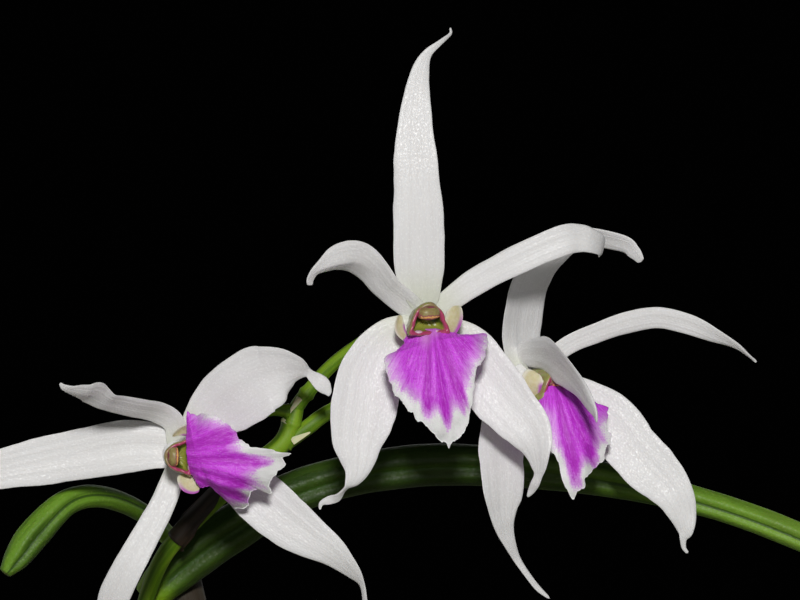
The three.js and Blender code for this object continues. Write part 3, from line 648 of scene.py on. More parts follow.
# Each tepal is a line of (x, y, z, width, roll, cup, fold) from the bloom's heart; each lip is the outline of its
# plate as (x, z) round a pole, with the depth of its spine from the pole to the tip.
blooms = [{
    "name": "middle", "heart": (8.7, 0, 128.2), "forward": (0.03, -1, -0.05), "up": (-0.05, 0, 1),
    "facing": (0, -1, 0), "turned": {},
    "tepals": {
        "dorsalSepal": [
            (-0.2, 0.9, 0.4, 2.6), (-0.75, -0.4, 5, 4.9), (-0.8, -1, 8.2, 5.06), (-0.9, -1.3, 11.1, 5),
            (-1.1, -1.4, 14.7, 4.45), (-1.2, -1.1, 18.3, 3.8), (-1, -0.5, 22.3, 2.6), (-0.6, 0, 24.8, 1.85, 10),
            (0.1, 0.2, 26.4, 1, 20), (1.4, 0.3, 27.5, 0.55, 30), (2.4, -0.1, 28.3, 0.32, 40),
            (2.45, -0.3, 28.95, 0.2, 45),
        ],
        "leftPetal": [
            (-0.5, 0.9, 0.3, 2.1, -15), (-2.3, 0.6, 1.5, 2.9, -30), (-4.05, 0.1, 2.9, 3.6, -42),
            (-5.5, -0.7, 4.6, 3.9, -45, 0.1, 0.2), (-6.9, -1.7, 5.45, 3.6, -42, 0.1, 0.7),
            (-8.3, -2.6, 5.4, 2.7, -38, 0.1, 1.1), (-9.6, -3.3, 5.1, 2.1, -30, 0.1, 1),
            (-10.8, -3.8, 4.6, 1.3, -20, 0.1, 0.4), (-11.4, -3.9, 3.9, 1, -10), (-11.5, -3.8, 3.2, 0.6),
        ],
        "rightPetal": [
            (0.5, 0.9, 0.4, 2), (4.8, 0.4, 3.6, 2.7), (9.4, -0.2, 6, 2.9), (13.4, -0.2, 7.7, 3.1),
            (15.3, 0.4, 8, 2.85), (16.6, 1, 7.75, 2.5), (17.6, 2.2, 7.3, 2.1), (17.9, 3.8, 6.8, 1.2),
            (17.7, 5, 6.2, 0.5),
        ],
        "leftSepal": [
            (-0.5, 0.9, -0.4, 2.4), (-3.9, 0.5, -2.5, 4.8), (-5.65, 0.1, -5.4, 6.1), (-6.15, -0.2, -8.1, 6.8),
            (-6.6, -0.4, -10.4, 6.15), (-6.9, -0.5, -12.2, 5.35), (-6.9, -0.6, -14, 3.9), (-7.05, -0.6, -15.4, 2.5),
            (-7.55, -0.6, -16.6, 1.4, -20), (-8.05, -0.4, -17.3, 0.75, -60), (-8.9, -0.2, -18.1, 0.95, -30),
            (-9.8, 0, -18.3, 0.85), (-10.5, 0, -18.6, 0.5), (-10.65, 0, -19.2, 0.2),
        ],
        "rightSepal": [
            (0.5, 0.9, -0.4, 2.4), (4, 0.6, -3.2, 5.2), (6.85, 0.1, -7.25, 6), (8.55, -0.2, -9.3, 5.5),
            (9.9, -0.6, -10.8, 4.85), (10.7, -0.9, -12.35, 3.9, 10), (11, -1, -13.85, 2.55, 25),
            (11.1, -0.9, -15.05, 1.55, 20), (11.05, -0.7, -15.8, 0.9, 10), (10.75, -0.4, -16.7, 0.9),
            (10.4, 0, -17.4, 0.7), (10.05, 0.2, -18, 0.2),
        ],
    },
    "lip": {
        "pole": (0.7, -2.2),
        "outline": [
            (-1.86, -1.66), (-2.2, -2.16), (-2.6, -2.75), (-3, -3.15), (-3.69, -3.54), (-4.23, -3.94), (-4.28, -4.53),
            (-3.99, -5.42), (-3.69, -6.31), (-3.29, -7.3), (-2.7, -8.09), (-2, -8.88), (-1.32, -9.52),
            (-1.02, -10.07), (-0.33, -10.5), (0.37, -11.1), (0.86, -11.75), (1.45, -12.15), (1.85, -12.4),
            (2.15, -12.8), (2.4, -12.34), (2.84, -12.05), (3.43, -11.55), (3.83, -10.96), (4.12, -10.07),
            (4.32, -8.88), (4.52, -7.6), (4.72, -6.41), (5.01, -5.12), (5.51, -4.13), (5.9, -3.15), (6, -2.16),
            (5.8, -1.5), (4.6, -1.6), (3.4, -1.6), (2.4, -1.35), (0.7, -1.05), (-0.8, -1.2),
        ],
        "margin": (5, 31), "widen": 3.4, "tip": (2.15, -12.8), "source": 3.4,
        "spine": [-4.5, -5.2, -5.6, -5.9, -6.05, -6.05, -5.95, -5.75, -5.45, -5.05],
        "bow": 1.0,
        "pleats": [(0.015, 0.25, 0.045), (-0.16, 0.10, 0.06), (0.2, 0.12, 0.08)],
        "haze": [(-0.2, -1.8, 0.55, 1.0, 0.7), (0.8, -1.4, 0.5, 0.5, 0.5)],
        "folds": [
            {"at": (4.2, -1.9), "out": (0.75, 0.66), "tilt": 1.0},
            {"at": (-2.9, -2.8), "out": (-0.7, 0.7), "tilt": 0.25},
        ],
    },
    "columnForward": (0.28, -1, -0.05), "columnShift": (-1.0, 0, 0), "columnSize": 1.0,
    "ears": [
        (2.0, [
            (1.9, -2.4, -1.8, 1.2), (2.3, -2.8, -1.0, 1.75), (2.65, -3.0, -0.1, 2.0), (2.75, -2.9, 0.7, 1.75),
            (2.7, -2.7, 1.25, 0.9),
        ]),
        (2.0, [(-2.1, -2, -2.0, 0.8), (-2.6, -2.3, -1.3, 1.2), (-2.75, -2.5, -0.5, 1.1), (-2.6, -2.5, 0.3, 0.6)]),
    ],
}, {
    "name": "left", "heart": (-16, -1, 114.5), "forward": (0.12, -1, 0), "up": (-1, -0.1, 0.02), "facing": (0, -1, 0),
    "turned": {},
    "tepals": {
        "dorsalSepal": [
            (0.9, 0.9, 0.5, 3.4), (-0.6, 0.9, 0.7, 4), (-2.5, 0.9, 0.9, 4.5), (-4.9, 0.9, 0.9, 5.2),
            (-8, 0.5, 0.43, 5.35), (-13, 0, -0.45, 4.8), (-18, -0.2, -1.4, 4), (-22.4, 0, -2.5, 2.6),
            (-25.8, 0.4, -4, 1.5, -20), (-28, 0.4, -6, 0.6, -40),
        ],
        "upperPetal": [
            (-0.3, 0.9, 0.4, 2), (-0.5, 0.2, 3.0, 2.2), (-1.9, -1, 4.15, 2.4), (-3.95, -3.7, 4.65, 2.45),
            (-5.63, -5.6, 5.06, 2.4), (-6.7, -7, 5.34, 2.35, -6), (-7.5, -8.1, 5.78, 2.65, -15, 0.1, 0.3),
            (-8.1, -9.1, 6.08, 2.75, -22, 0.1, 0.5), (-8.8, -10, 6.13, 2.15, -24, 0.1, 0.5),
            (-9.5, -10.8, 6.35, 1.7, -20, 0.1, 0.4), (-10.25, -11.4, 6.62, 1.1, -10), (-10.75, -11.8, 6.88, 0.65),
            (-11.1, -12.1, 7.24, 0.25),
        ],
        "lowerPetal": [
            (-0.1, 0.9, -0.4, 2), (-1.55, 0.4, -4.5, 2.5), (-3.65, -0.2, -8.5, 2.85), (-5.3, -0.4, -11.5, 3.05),
            (-6.7, 0.1, -14.5, 3.05), (-8, 1.6, -18.6, 1.5, 20), (-8.2, 2.8, -20.2, 0.6, 30),
        ],
        "upperSepal": [
            (0.3, 0.9, 0.4, 2.4), (2.4, 0.6, 3, 4.8), (3.9, 0.4, 4.65, 6.2), (5.8, -0.2, 6.1, 7),
            (7.8, -0.7, 7.45, 7.1), (9, -0.9, 7.9, 6.4, 4), (10.3, -0.9, 8.3, 5.1, 12), (11.5, -0.7, 8.4, 3.6, 24),
            (12.3, -0.4, 8.35, 2.1, 26), (12.9, -0.1, 8.2, 0.95, 10), (13.3, 0.1, 7.9, 1.1), (13.75, 0.3, 7.55, 1.45),
            (14.2, 0.4, 7.15, 1.65), (14.55, 0.5, 6.75, 1.45), (14.85, 0.6, 6.3, 0.9), (14.97, 0.6, 5.9, 0.15),
        ],
        "lowerSepal": [
            (0.3, 0.9, -0.4, 1.8), (3.1, 0.7, -1.6, 2.4), (5.5, 0.4, -2.85, 3.7), (7.9, 0.1, -4.2, 5.3),
            (10.55, -0.2, -6.4, 5.2), (12.75, -0.4, -8, 4.4), (14.85, -0.6, -9.35, 3.3, 10),
            (16.4, -0.3, -10.8, 2.4, 25), (17.45, 0.1, -12, 1.65, 35), (18.07, 0.4, -13.1, 0.8, 50),
            (18.3, 0.7, -14.5, 0.65, 50), (18.6, 1, -16, 0.3),
        ],
    },
    "lip": {
        "pole": (1.9, 0.1),
        "outline": [
            (0.95, 4.4), (1.4, 4.15), (2.26, 4.2), (3.25, 4.15), (4.23, 3.85), (5.42, 3.06), (6.01, 2.08),
            (6.5, 1.58), (7.2, 1.09), (7.98, 0.94), (8.77, 0.89), (9.37, 0.74), (10.16, 0.5), (11.24, 0.33),
            (10.45, -0.05), (10.6, -0.59), (10.55, -1.08), (9.86, -1.58), (9.37, -2.07), (9.17, -2.66), (9.17, -3.35),
            (9.07, -3.65), (8.58, -3.5), (7.98, -3.25), (7.79, -3.3), (7.39, -3.4), (7.1, -3.75), (7, -4.24),
            (6.9, -4.73), (6.5, -5.03), (5.71, -5.28), (5.22, -4.83), (4.43, -4.14), (3.74, -3.45), (3.25, -3.06),
            (2.65, -3.06), (2.16, -2.96), (1.75, -2.4), (1.2, -1.4), (0.9, 0.2), (0.85, 2.4),
        ],
        "margin": (2.2, 30.5), "widen": 3.4, "tip": (11.24, 0.33), "source": 5.0,
        "spine": [-5.3, -5.8, -6.1, -6.25, -6.3, -6.3, -6.2, -6, -5.8, -5.5],
        "bow": 0.6,
        "pleats": [(-0.05, 0.35, 0.07), (-0.29, 0.3, 0.06), (-0.43, 0.25, 0.05), (0.24, 0.2, 0.11)],
        "haze": [],
        "folds": [
            {"at": (1.0, -2.3), "out": (-0.14, -0.99), "tilt": 0.9},
            {"at": (3, -2.1), "out": (-0.1, -1), "tilt": 0.35}, {"at": (6.5, -1.7), "out": (0.5, -0.87), "tilt": 0.4},
        ],
    },
    "columnForward": (0.16, -1, 0.02), "columnShift": (-0.5, 0, -0.12), "columnSize": 0.87,
    "ears": [
        (3.0, [
            (1.3, -3.0, 2.6, 1.2), (0.8, -3.3, 2.6, 1.35), (0.3, -3.5, 2.45, 1.1), (-0.15, -3.5, 2.15, 0.7),
            (-0.5, -3.4, 1.85, 0.2),
        ]),
        (3.0, [
            (2.15, -3.6, -3.1, 0.7), (1.55, -3.6, -3.05, 1.5), (1.05, -3.5, -2.75, 1.95), (0.75, -3.3, -2.2, 1.8),
            (0.6, -2.9, -1.65, 1.1),
        ]),
    ],
}, {
    "name": "right", "heart": (18.9, 9, 121.8), "forward": (0.45, -0.88, -0.1), "up": (-0.02, -0.1, 1),
    "facing": (0.25, -1, 0), "turned": {"frontPetal": (-0.5, -0.5, 0.6)},
    "tepals": {
        "dorsalSepal": [
            (-0.1, 0.9, 0.4, 2.6, 20), (-0.6, 1.2, 4.28, 5.6, 34), (-0.3, 1, 7.3, 6.4, 36), (0.4, 0.6, 9.9, 6.2, 36),
            (2.4, 0.2, 12.8, 5, 32), (5.4, -0.4, 14.5, 3.2, 25), (9.5, -1.2, 13.9, 2.2, 10), (10.7, -1.6, 13, 1.7),
            (11.5, -1.6, 12, 0.8),
        ],
        "backPetal": [
            (0.4, 0.9, 0.4, 1.8), (4, 1, 3.4, 1.95), (7.3, 0.8, 4.87, 2.1), (10.4, 0.2, 5.9, 2.25),
            (13.4, -0.6, 6.35, 2.2), (16.5, -1.4, 5.65, 2.1), (19, -2, 4.5, 1.75, 15), (21.05, -2.2, 3.4, 1.1, 35),
            (22.4, -2.2, 2.25, 0.5, 50), (23.2, -2.2, 1.8, 0.25),
        ],
        "frontPetal": [
            (-0.3, 0.9, 0.6, 1.4), (-0.59, 0.2, 2.36, 2.2), (0.7, -1.6, 2.7, 3.1), (1.85, -3.8, 2.48, 4.1),
            (2.64, -5.8, 1.9, 4.25), (3.48, -7.8, 1.14, 4), (4.72, -10.2, -0.34, 3.2), (5.66, -11.8, -1.92, 2.35),
            (6.21, -12.6, -3.02, 1.25), (6.34, -13, -3.97, 0.2),
        ],
        "leftSepal": [
            (-0.3, 0.9, -0.4, 2.2), (-2, -0.2, -3.6, 4.6), (-2.66, -3.6, -6.9, 5.15), (-2.57, -4.7, -8.7, 5.25),
            (-2.5, -5.2, -10.4, 5.05), (-2.48, -5.3, -11.8, 4.55), (-2.5, -5.2, -13, 3.4), (-2.38, -5, -14.1, 2.6),
            (-2.1, -4.6, -15.3, 1.95), (-1.55, -4.1, -16.7, 1.3), (-0.95, -3.5, -18, 0.85), (-0.32, -3.3, -19, 0.7),
            (0.32, -3.1, -19.9, 0.65), (1.2, -2.8, -21, 0.6), (2.35, -2.6, -22, 0.25),
        ],
        "rightSepal": [
            (0.5, 0.9, -0.3, 2.2), (4.6, 0.6, -1.8, 4.8), (8.4, -0.2, -4.1, 5.8), (10.49, -0.6, -6.64, 5.5),
            (12.5, -1, -8.8, 5.4), (14, -1.2, -10.3, 4.75), (15.2, -1.4, -12, 3.85), (15.85, -1.3, -13.75, 2.75),
            (16.05, -1.2, -15.3, 1.65, 15), (15.9, -1.1, -16.15, 0.75), (15.95, -0.9, -17, 0.48),
            (16.35, -0.8, -17.6, 0.3),
        ],
    },
    "lip": {
        "pole": (2.7, -1.3),
        "outline": [
            (1.5, -0.86), (1.3, -1.26), (1.14, -2.07), (1.3, -3.1), (1.6, -4.4), (2, -5.9), (2.1, -6.9), (2.7, -7.5),
            (3.1, -8.4), (3.26, -9.3), (3.5, -10.1), (3.9, -10.9), (4.52, -11.84), (5, -11.3), (5.6, -10.8),
            (5.78, -10.43), (5.73, -9.92), (5.93, -9.62), (6.43, -8.97), (7.03, -8.56), (7.64, -8.01), (7.84, -7.5),
            (7.9, -6.9), (8.14, -6.55), (8.44, -5.64), (8.34, -5.24), (7.94, -4.9), (7.9, -4.18), (8.04, -3.38),
            (8.24, -2.77), (7.64, -2.42), (6.93, -2.17), (5.2, -1.2), (3.6, -0.6), (2.4, -0.5),
        ],
        "margin": (3.5, 26.5), "widen": 1.8, "tip": (4.52, -11.84), "source": 3.5,
        "spine": [-4.3, -5, -5.35, -5.6, -5.75, -5.8, -5.75, -5.6, -5.4, -5.1],
        "bow": 0.5,
        # these wide pleats also spread painted shade over the middle of this lip, in place of the front petal's shadow
        "pleats": [(0.06, 0.2, 0.08), (0.25, 0.35, 0.06)],
        "haze": [],
        "folds": [{"at": (6.0, -5.5), "out": (0.99, -0.08), "tilt": 0.7}],
    },
    "columnForward": (0.72, -0.68, -0.18), "columnShift": (-0.2, 0, 0.2), "columnSize": 1.0,
    "ears": [
        (2.0, [
            (0.8, -3.2, -1.95, 0.8), (0.55, -3.7, -1.2, 1.6), (0.4, -4.0, -0.35, 2.2), (0.55, -4.0, 0.4, 2.2),
            (0.85, -3.9, 0.95, 1.3),
        ]),
        (2.0, [(3.0, -1.4, -1.7, 0.9), (3.4, -1.8, -0.9, 1.3), (3.6, -2, 0, 1.2), (3.6, -2, 0.6, 0.6)]),
    ],
}]


def bloomAxes(bloom, forward):
    # x to the bloom's right, y up towards its dorsal sepal, z forward
    z = Vector(forward).normalized()
    x = Vector(bloom["up"]).cross(z).normalized()
    return Matrix((x, z.cross(x), z)).transposed()


def dome(shell, axes, centre, size, shape=None, kind=0.0, around=36, rows=20):
    # a rounded knob in the bloom's axes; shape may swell or pinch it
    rings = []
    for i in range(rows + 1):
        tilt = math.pi * (0.5 - i / rows)
        ring = []
        for angle in turns(around):
            ball = Vector((math.cos(tilt) * math.cos(angle), math.sin(tilt), math.cos(tilt) * math.sin(angle)))
            swell = shape(ball) if shape else 1.0
            local = Vector((ball.x * size[0], ball.y * size[1], ball.z * size[2])) * swell + Vector(centre)
            ring.append((axes @ local, (ball.x, ball.y * 0.5 + 0.5, kind), tuple(local)))
        rings.append(ring)
    skin(shell, rings)


lipLook = {"rays": 200, "rings": 44, "thick": 0.5, "wave": 0.24, "waves": 7, "crimp": 0.12, "pucker": 0.10}


def lipEdge(plate, look, seed):
    # the crimped outline as rays from the pole, and the stretch of it that is white
    closed, pole = closedLine(plate["outline"], 1, 2), Vector(plate["pole"])
    finer, edges = 6 * look["rays"], []
    whiteEdge = kdtree.KDTree(finer)
    for j in range(finer):
        place = len(plate["outline"]) * j / finer
        away = Vector(through(closed, (1 + place) / (len(closed) - 1))) - pole
        edge = away + pole
        notch = ripple(*(edge * 1.7), seed) + 0.6 * ripple(*(edge * 4), seed)
        away = away * (1 + look["crimp"] * notch * 2.2 / max(2.5, away.length))
        if plate["margin"][0] <= place <= plate["margin"][1]:
            whiteEdge.insert((*(pole + away), 0), j)
        if j % 6 == 0:
            edges.append(away)
    whiteEdge.balance()
    return edges, whiteEdge


def turnFrom(spot, axis):
    turn = math.atan2(spot.y, spot.x) - axis
    return (turn + math.pi) % (2 * math.pi) - math.pi


def lipPlate(shell, plate, look, seed):
    # a frilled plate: rays run from the pole out to its outline, in front and back again behind
    pole, tip = Vector(plate["pole"]), Vector(plate["tip"])
    spineLine, spineDepth = tip - pole, [[y] for y in plate["spine"]]
    axis, (edges, whiteEdge) = math.atan2(spineLine.y, spineLine.x), lipEdge(plate, look, seed)
    rings = []
    for i in range(2 * look["rings"]):
        isFront = i < look["rings"]
        step = i if isFront else 2 * look["rings"] - 1 - i
        r = ((step + 0.35) / (look["rings"] - 0.65)) ** 0.9
        ring = []
        for reach in edges:
            turn, spot = turnFrom(reach, axis), reach * r
            local = pole + spot
            share = spot.dot(spineLine) / spineLine.length_squared
            fromSource = spot + spineLine.normalized() * plate["source"]
            streak = turnFrom(fromSource, axis)
            depth = through(spineDepth, share)[0] + plate["bow"] * (r * math.sin(turn)) ** 2
            # behind the pole it runs on as it began
            depth += min(0.0, share) * (plate["spine"][1] - plate["spine"][0]) * 9
            for fold in plate["folds"]:
                over = (local - Vector(fold["at"])).dot(Vector(fold["out"]).normalized())
                depth += fold["tilt"] * 0.5 * (over + math.sqrt(over * over + 0.06))
            wide = min(1.0, reach.length / 4)
            depth += look["wave"] * wide * r ** 3 * math.sin(turn * look["waves"] + seed)
            depth += look["wave"] * 1.3 * wide * r ** 2 * ripple(local.x * 0.7, local.y * 0.7, seed)
            depth += look["pucker"] * r * ripple(streak * 14, spot.length * 0.25, seed + 5)
            # how near a pleat valley each point lies, kept in span.Z for the painted shade
            pleatShade = 0.0
            for streakAt, dip, spanned in plate["pleats"]:
                near = math.exp(-((streak - streakAt) / spanned) ** 2)
                depth += dip * near * min(1.0, spot.length / 2.5)
                pleatShade = max(pleatShade, near)
            haze = sum(most * math.exp(-((local.x - x) / wideX) ** 2 - ((local.y - z) / wideZ) ** 2)
                       for x, z, wideX, wideZ, most in plate["haze"])
            half = look["thick"] / 2 * (1 - r ** 4) ** 0.5 * (1 - 0.45 * r)
            # the white margin widens towards the tip
            widened = plate["widen"] * min(1.0, max(0.0, (share - 0.3) / 0.7)) ** 1.2
            inward = whiteEdge.find((*local, 0))[2] - widened
            place = Vector((local.x, depth - half if isFront else depth + half, local.y))
            span = (fromSource.x, fromSource.y, pleatShade if isFront else -5.0)
            ring.append((place, (streak, inward, min(1.0, haze)), span))
        rings.append(ring)
    skin(shell, rings)


columnShape = {
    "front": [
        (-2.15, -1.35), (-1.95, -0.6), (-1.6, 0.5), (-1.0, 1.35), (-0.1, 1.78), (0.85, 1.5), (1.5, 0.7), (1.9, -0.4),
        (2.15, -1.35), (1.1, -1.5), (0, -1.55), (-1.1, -1.5),
    ],
    "slices": [  # scale, distance forward: up the outside, over the rim and down into the hollow
        (0.42, 0.45), (0.58, 0.6), (0.70, 1.6), (0.86, 2.8), (0.96, 3.7), (1.0, 4.1), (0.97, 4.38), (0.89, 4.5),
        (0.79, 4.46), (0.71, 4.2), (0.67, 3.8), (0.58, 3.4), (0.42, 3.2), (0.15, 3.15),
    ],
    "around": 72,
    "rough": 0.08,
    "knobs": [((-1.1, -1.15, 4.2), (0.45, 0.2, 0.35)), ((0.75, -1.15, 4.15), (0.3, 0.18, 0.3))],
}


def column(shell, axes, look, seed):
    # a post whose front is hollowed inside a rolled, uneven rim, with two pale knobs at the foot
    closed, around = closedLine(look["front"], 2, 3), look["around"]
    share = len(look["front"]) / around
    outline = [through(closed, (2 + share * j) / (len(closed) - 1)) for j in range(around)]
    rings = []
    for i, (scale, z) in enumerate(look["slices"]):
        ring = []
        for x, y in outline:
            uneven = look["rough"] * ripple(x * 1.4, y * 1.4, z * 1.2 + seed)
            grown = scale + uneven * min(1.0, scale)
            local = Vector((x * grown, (y - 0.1) * grown + 0.1, z + 1.5 * uneven))
            ring.append((axes @ local, (y / 3.4 + 0.47, i / (len(look["slices"]) - 1), 0.0), tuple(local)))
        rings.append(ring)
    skin(shell, rings)
    for centre, size in look["knobs"]:
        dome(shell, axes, centre, size, kind=1.0)


antherShape = {"centre": (0.02, 0.72, 4.3), "size": (1.16, 0.72, 0.8), "furrow": 0.10}


def antherSwell(spot):
    furrow = antherShape["furrow"] * math.exp(-(spot.x / 0.2) ** 2) * max(0.0, spot.y + 0.3)
    return 1 - furrow + 0.10 * math.exp(-((spot.y + 0.55) / 0.25) ** 2)


for number, bloom in enumerate(blooms):
    label, plate, heart = bloom["name"], bloom["lip"], Vector(bloom["heart"])
    axes, columnAxes = bloomAxes(bloom, bloom["forward"]), bloomAxes(bloom, bloom["columnForward"])
    columnAxes = columnAxes @ Matrix.Diagonal((bloom["columnSize"], bloom["columnSize"], 1))
    seat = heart + Vector(bloom["columnShift"])

    tepals = newShell()
    for n, (bladeName, stations) in enumerate(bloom["tepals"].items()):
        blade(tepals, stations, bloom["turned"].get(bladeName, bloom["facing"]), tepalLook, seed=number * 5 + n)
    dome(tepals, axes, (0, 0, -1.5), (1.7, 1.7, 1.6))
    makePiece(label + "Tepals", tepals, petalWhite, [label + "_bloom_tepals"], heart)

    lip = newShell()
    lipPlate(lip, plate, lipLook, number * 2.3 + 1)
    # the claw joins the plate to the foot of the column
    pole = Vector((plate["pole"][0], plate["spine"][1] + 0.5, plate["pole"][1]))
    foot, under = axes @ Vector((0, -2.0, 1)), axes @ Vector((0, -2.5, 3))
    outward = (Vector((plate["tip"][0], 0, plate["tip"][1])) - Vector((pole.x, 0, pole.z))).normalized()
    inside = pole + outward * 1.0 + Vector((0, 0.15, 0))
    claw = [(*foot, 2), (*((foot + under) / 2), 2.4), (*((under + pole) / 2), 2.6), (*inside, 2.2)]
    blade(lip, claw, -outward, clawLook, kind=0.4)
    for n, (rimSide, ear) in enumerate(bloom["ears"]):
        facing = Vector((0, -1, 0)) - Vector((ear[2][0], 0, ear[2][2])) * 0.2
        blade(lip, ear, facing, earLook, seed=number * 2 + n, kind=rimSide)
    makePiece(label + "Lip", lip, lipMagenta, [label + "_bloom_lip"], heart)

    post = newShell()
    column(post, columnAxes, columnShape, number * 3.7)
    makePiece(label + "Column", post, columnGreen, [label + "_bloom_column"], seat)

    cap = newShell()
    dome(cap, columnAxes, antherShape["centre"], antherShape["size"], antherSwell)
    makePiece(label + "AntherCap", cap, antherTan, [label + "_bloom_anther_cap"], seat)
print("blooms ready")


# Stalks and leaves


def stalk(shell, stations, look, facing=(0, 0, 1), shape=None, kind=0.0, seed=0.0):
    # a round stem through (x, y, z, radius); shape(angle, t) multiplies the radius, angle 0 lies towards facing
    rings = []
    places = [i / look["steps"] for i in range(look["steps"] + 1)]
    for t, (radius,), middle, along, carried, length in walk(stations, facing, places):
        side, ring = along.cross(carried), []
        for angle in turns(look["sides"]):
            reach = radius * (shape(angle, t) if shape else 1.0)
            lump = ripple(math.cos(angle) * 1.2, length * 0.35, math.sin(angle) * 1.2 + seed)
            reach *= 1 + look["lumps"] * lump
            place = middle + carried * (reach * math.cos(angle)) + side * (reach * math.sin(angle))
            span = (radius * math.cos(angle) + seed, length, radius * math.sin(angle))
            ring.append((place, (math.cos(angle), t, kind), span))
        rings.append(ring)
    skin(shell, rings)


leafLook = {"steps": 150, "sides": 56, "lumps": 0.03, "depth": 0.26, "width": 0.26, "lips": 0.03, "girth": 2.2}


def grooved(angle, t):
    # round but for one groove, with a slight lip on either side, dying out at both ends
    turn = (angle + math.pi) % (2 * math.pi) - math.pi
    strength = min(1.0, t * 8, (1 - t) * 8)
    groove = leafLook["depth"] * math.exp(-(turn / leafLook["width"]) ** 2)
    lips = leafLook["lips"] * math.exp(-((abs(turn) - 2.0 * leafLook["width"]) / (0.8 * leafLook["width"])) ** 2)
    return (1 - strength * groove + strength * lips) * rounded(max(0.0, (t - 0.985) / 0.015, 1 - t / 0.012), 0.04)


def archedLeaf(growth):
    # the leaf leaves its stem at a rise above level and bends down evenly
    girths = (0.72, 1, 1.05, 1, 0.86, 0.6, 0.18)
    heading, length, rise, bend = growth["arch"]
    heading, count, (x, y, z) = math.radians(heading), len(girths) - 1, growth["top"]
    level = 0.8 * math.cos(math.radians(rise))
    x, y, z = x + level * math.cos(heading), y + level * math.sin(heading), z + 0.35 + 1.1
    out, height, stations = 0.0, 0.0, []
    for i, girth in enumerate(girths):
        radius = leafLook["girth"] * girth
        stations.append((x + out * math.cos(heading), y + out * math.sin(heading), z + height, radius))
        tilt = math.radians(rise - bend * (i + 0.5) / count)
        out += length / count * math.cos(tilt)
        height += length / count * math.sin(tilt)
    return stations


# A growth has its leaf's own stations, or else the (heading, length, rise, bend) of a plain arched one. The
# flowering growth's flag is 1: its leaf gets painted light near the tip and painted shade along the middle. sheath
# is 2 where the sleeves are old and painted nearly black as shade.
growths = [
    {
        "name": "flowering", "base": (-20, 16), "top": (-20.6, 17, 97.4), "facing": (0, -1, -0.3), "paintedLight": 1.0,
        "leaf": [
            (-20.3, 17, 98.9, 1.6), (-17.4, 17, 101.9, 2.35), (-11.6, 17, 106.2, 2.5), (-3, 17.5, 110.8, 2.2),
            (9.2, 18, 112.9, 2.2), (23.5, 18, 112, 1.9), (37, 17, 109.2, 1.45), (49, 15, 104.8, 1.4),
            (58.5, 12, 99.6, 1), (63, 10, 96.4, 0.35),
        ],
    },
    {
        "name": "left", "base": (-12.5, 11), "top": (-17.4, 23, 103.6), "facing": (0, -1, 0.35), "sheath": 2.0,
        "leaf": [
            (-18.1, 22.7, 105.2, 1), (-20.5, 14.5, 108.1, 1), (-24, 7, 110, 1.1), (-27.4, 3.4, 109.7, 1.3),
            (-30.6, 1.6, 106.6, 1.6), (-32.3, 0.9, 104.3, 1.35), (-33.6, 0.4, 102.6, 0.6),
        ],
    },
    {"name": "back", "base": (-6, 7.2), "top": (-5.4, 11, 86.5), "arch": (84, 82, 30, 85)},
    {"name": "middle", "base": (1, 3.8), "top": (1.6, 1.5, 85), "arch": (-72, 74, 26, 88)},
    {"name": "back_right", "base": (8, 0.6), "top": (10, 4, 86), "arch": (48, 88, 26, 72)},
    {"name": "right", "base": (16.5, -3.8), "top": (19, -5, 85), "arch": (-28, 80, 24, 78)},
    {"name": "far_right", "base": (24.5, -7.8), "top": (28, -5, 84), "arch": (12, 76, 40, 76)},
    {"name": "front", "base": (4.2, -7.8), "top": (2.4, -11, 84.5), "arch": (-108, 66, 24, 92)},
    {"name": "front_left", "base": (-3.2, -14), "top": (-7, -17, 84), "arch": (-158, 76, 32, 84)},
]

stemLook = {
    "steps": 40, "sides": 28, "lumps": 0.04, "foot": 71.9,
    "girths": [(0, 1.25), (0.22, 1.75), (0.6, 1.715), (0.9, 1.505), (1, 1.26)],  # share of its height, radius
}
sheathLook = {"rows": 26, "around": 32, "gap": 0.12, "thick": 0.14, "sleeves": [(0.02, 0.62, 0.3), (0.3, 0.97, 1.9)]}


def growthStem(growth):
    # it bows out from its base to its top
    (x, y), (topX, topY, topZ) = growth["base"], growth["top"]
    made = []
    for share, girth in stemLook["girths"]:
        height = stemLook["foot"] + (topZ - stemLook["foot"]) * share
        made.append((x + (topX - x) * share * share, y + (topY - y) * share * share, height, girth))
    return made


def sheath(shell, stations, fromT, toT, look, seed, kind=1.0):
    # a thin dry sleeve round the stem, torn obliquely at its top
    rings, rows = [], look["rows"]
    for i in range(2 * rows):
        outer = i < rows
        v = i / (rows - 1) if outer else (2 * rows - 1 - i) / (rows - 1)
        ring = []
        for angle in turns(look["around"]):
            ragged = ripple(math.cos(angle) * 3, math.sin(angle) * 3, seed * 9)
            torn = 0.16 * abs(math.sin(angle / 2 + seed)) + 0.07 * ragged
            t = fromT + (toT - torn - fromT) * v
            px, py, pz, radius = through(stations, t)
            along, face = direction(stations, t), Vector((0, -1, 0))
            face = (face - along * face.dot(along)).normalized()
            side = along.cross(face)
            reach = radius + look["gap"] + (look["thick"] if outer else 0.0) + 0.25 * v ** 3
            reach += 0.06 * math.sin(angle * 9 + seed) * v
            place = Vector((px, py, pz)) + face * (reach * math.cos(angle)) + side * (reach * math.sin(angle))
            span = (radius * math.cos(angle) + seed * 5, v * 12, radius * math.sin(angle))
            ring.append((place, (math.cos(angle), v, kind), span))
        rings.append(ring)
    skin(shell, rings, closeEnds=False)


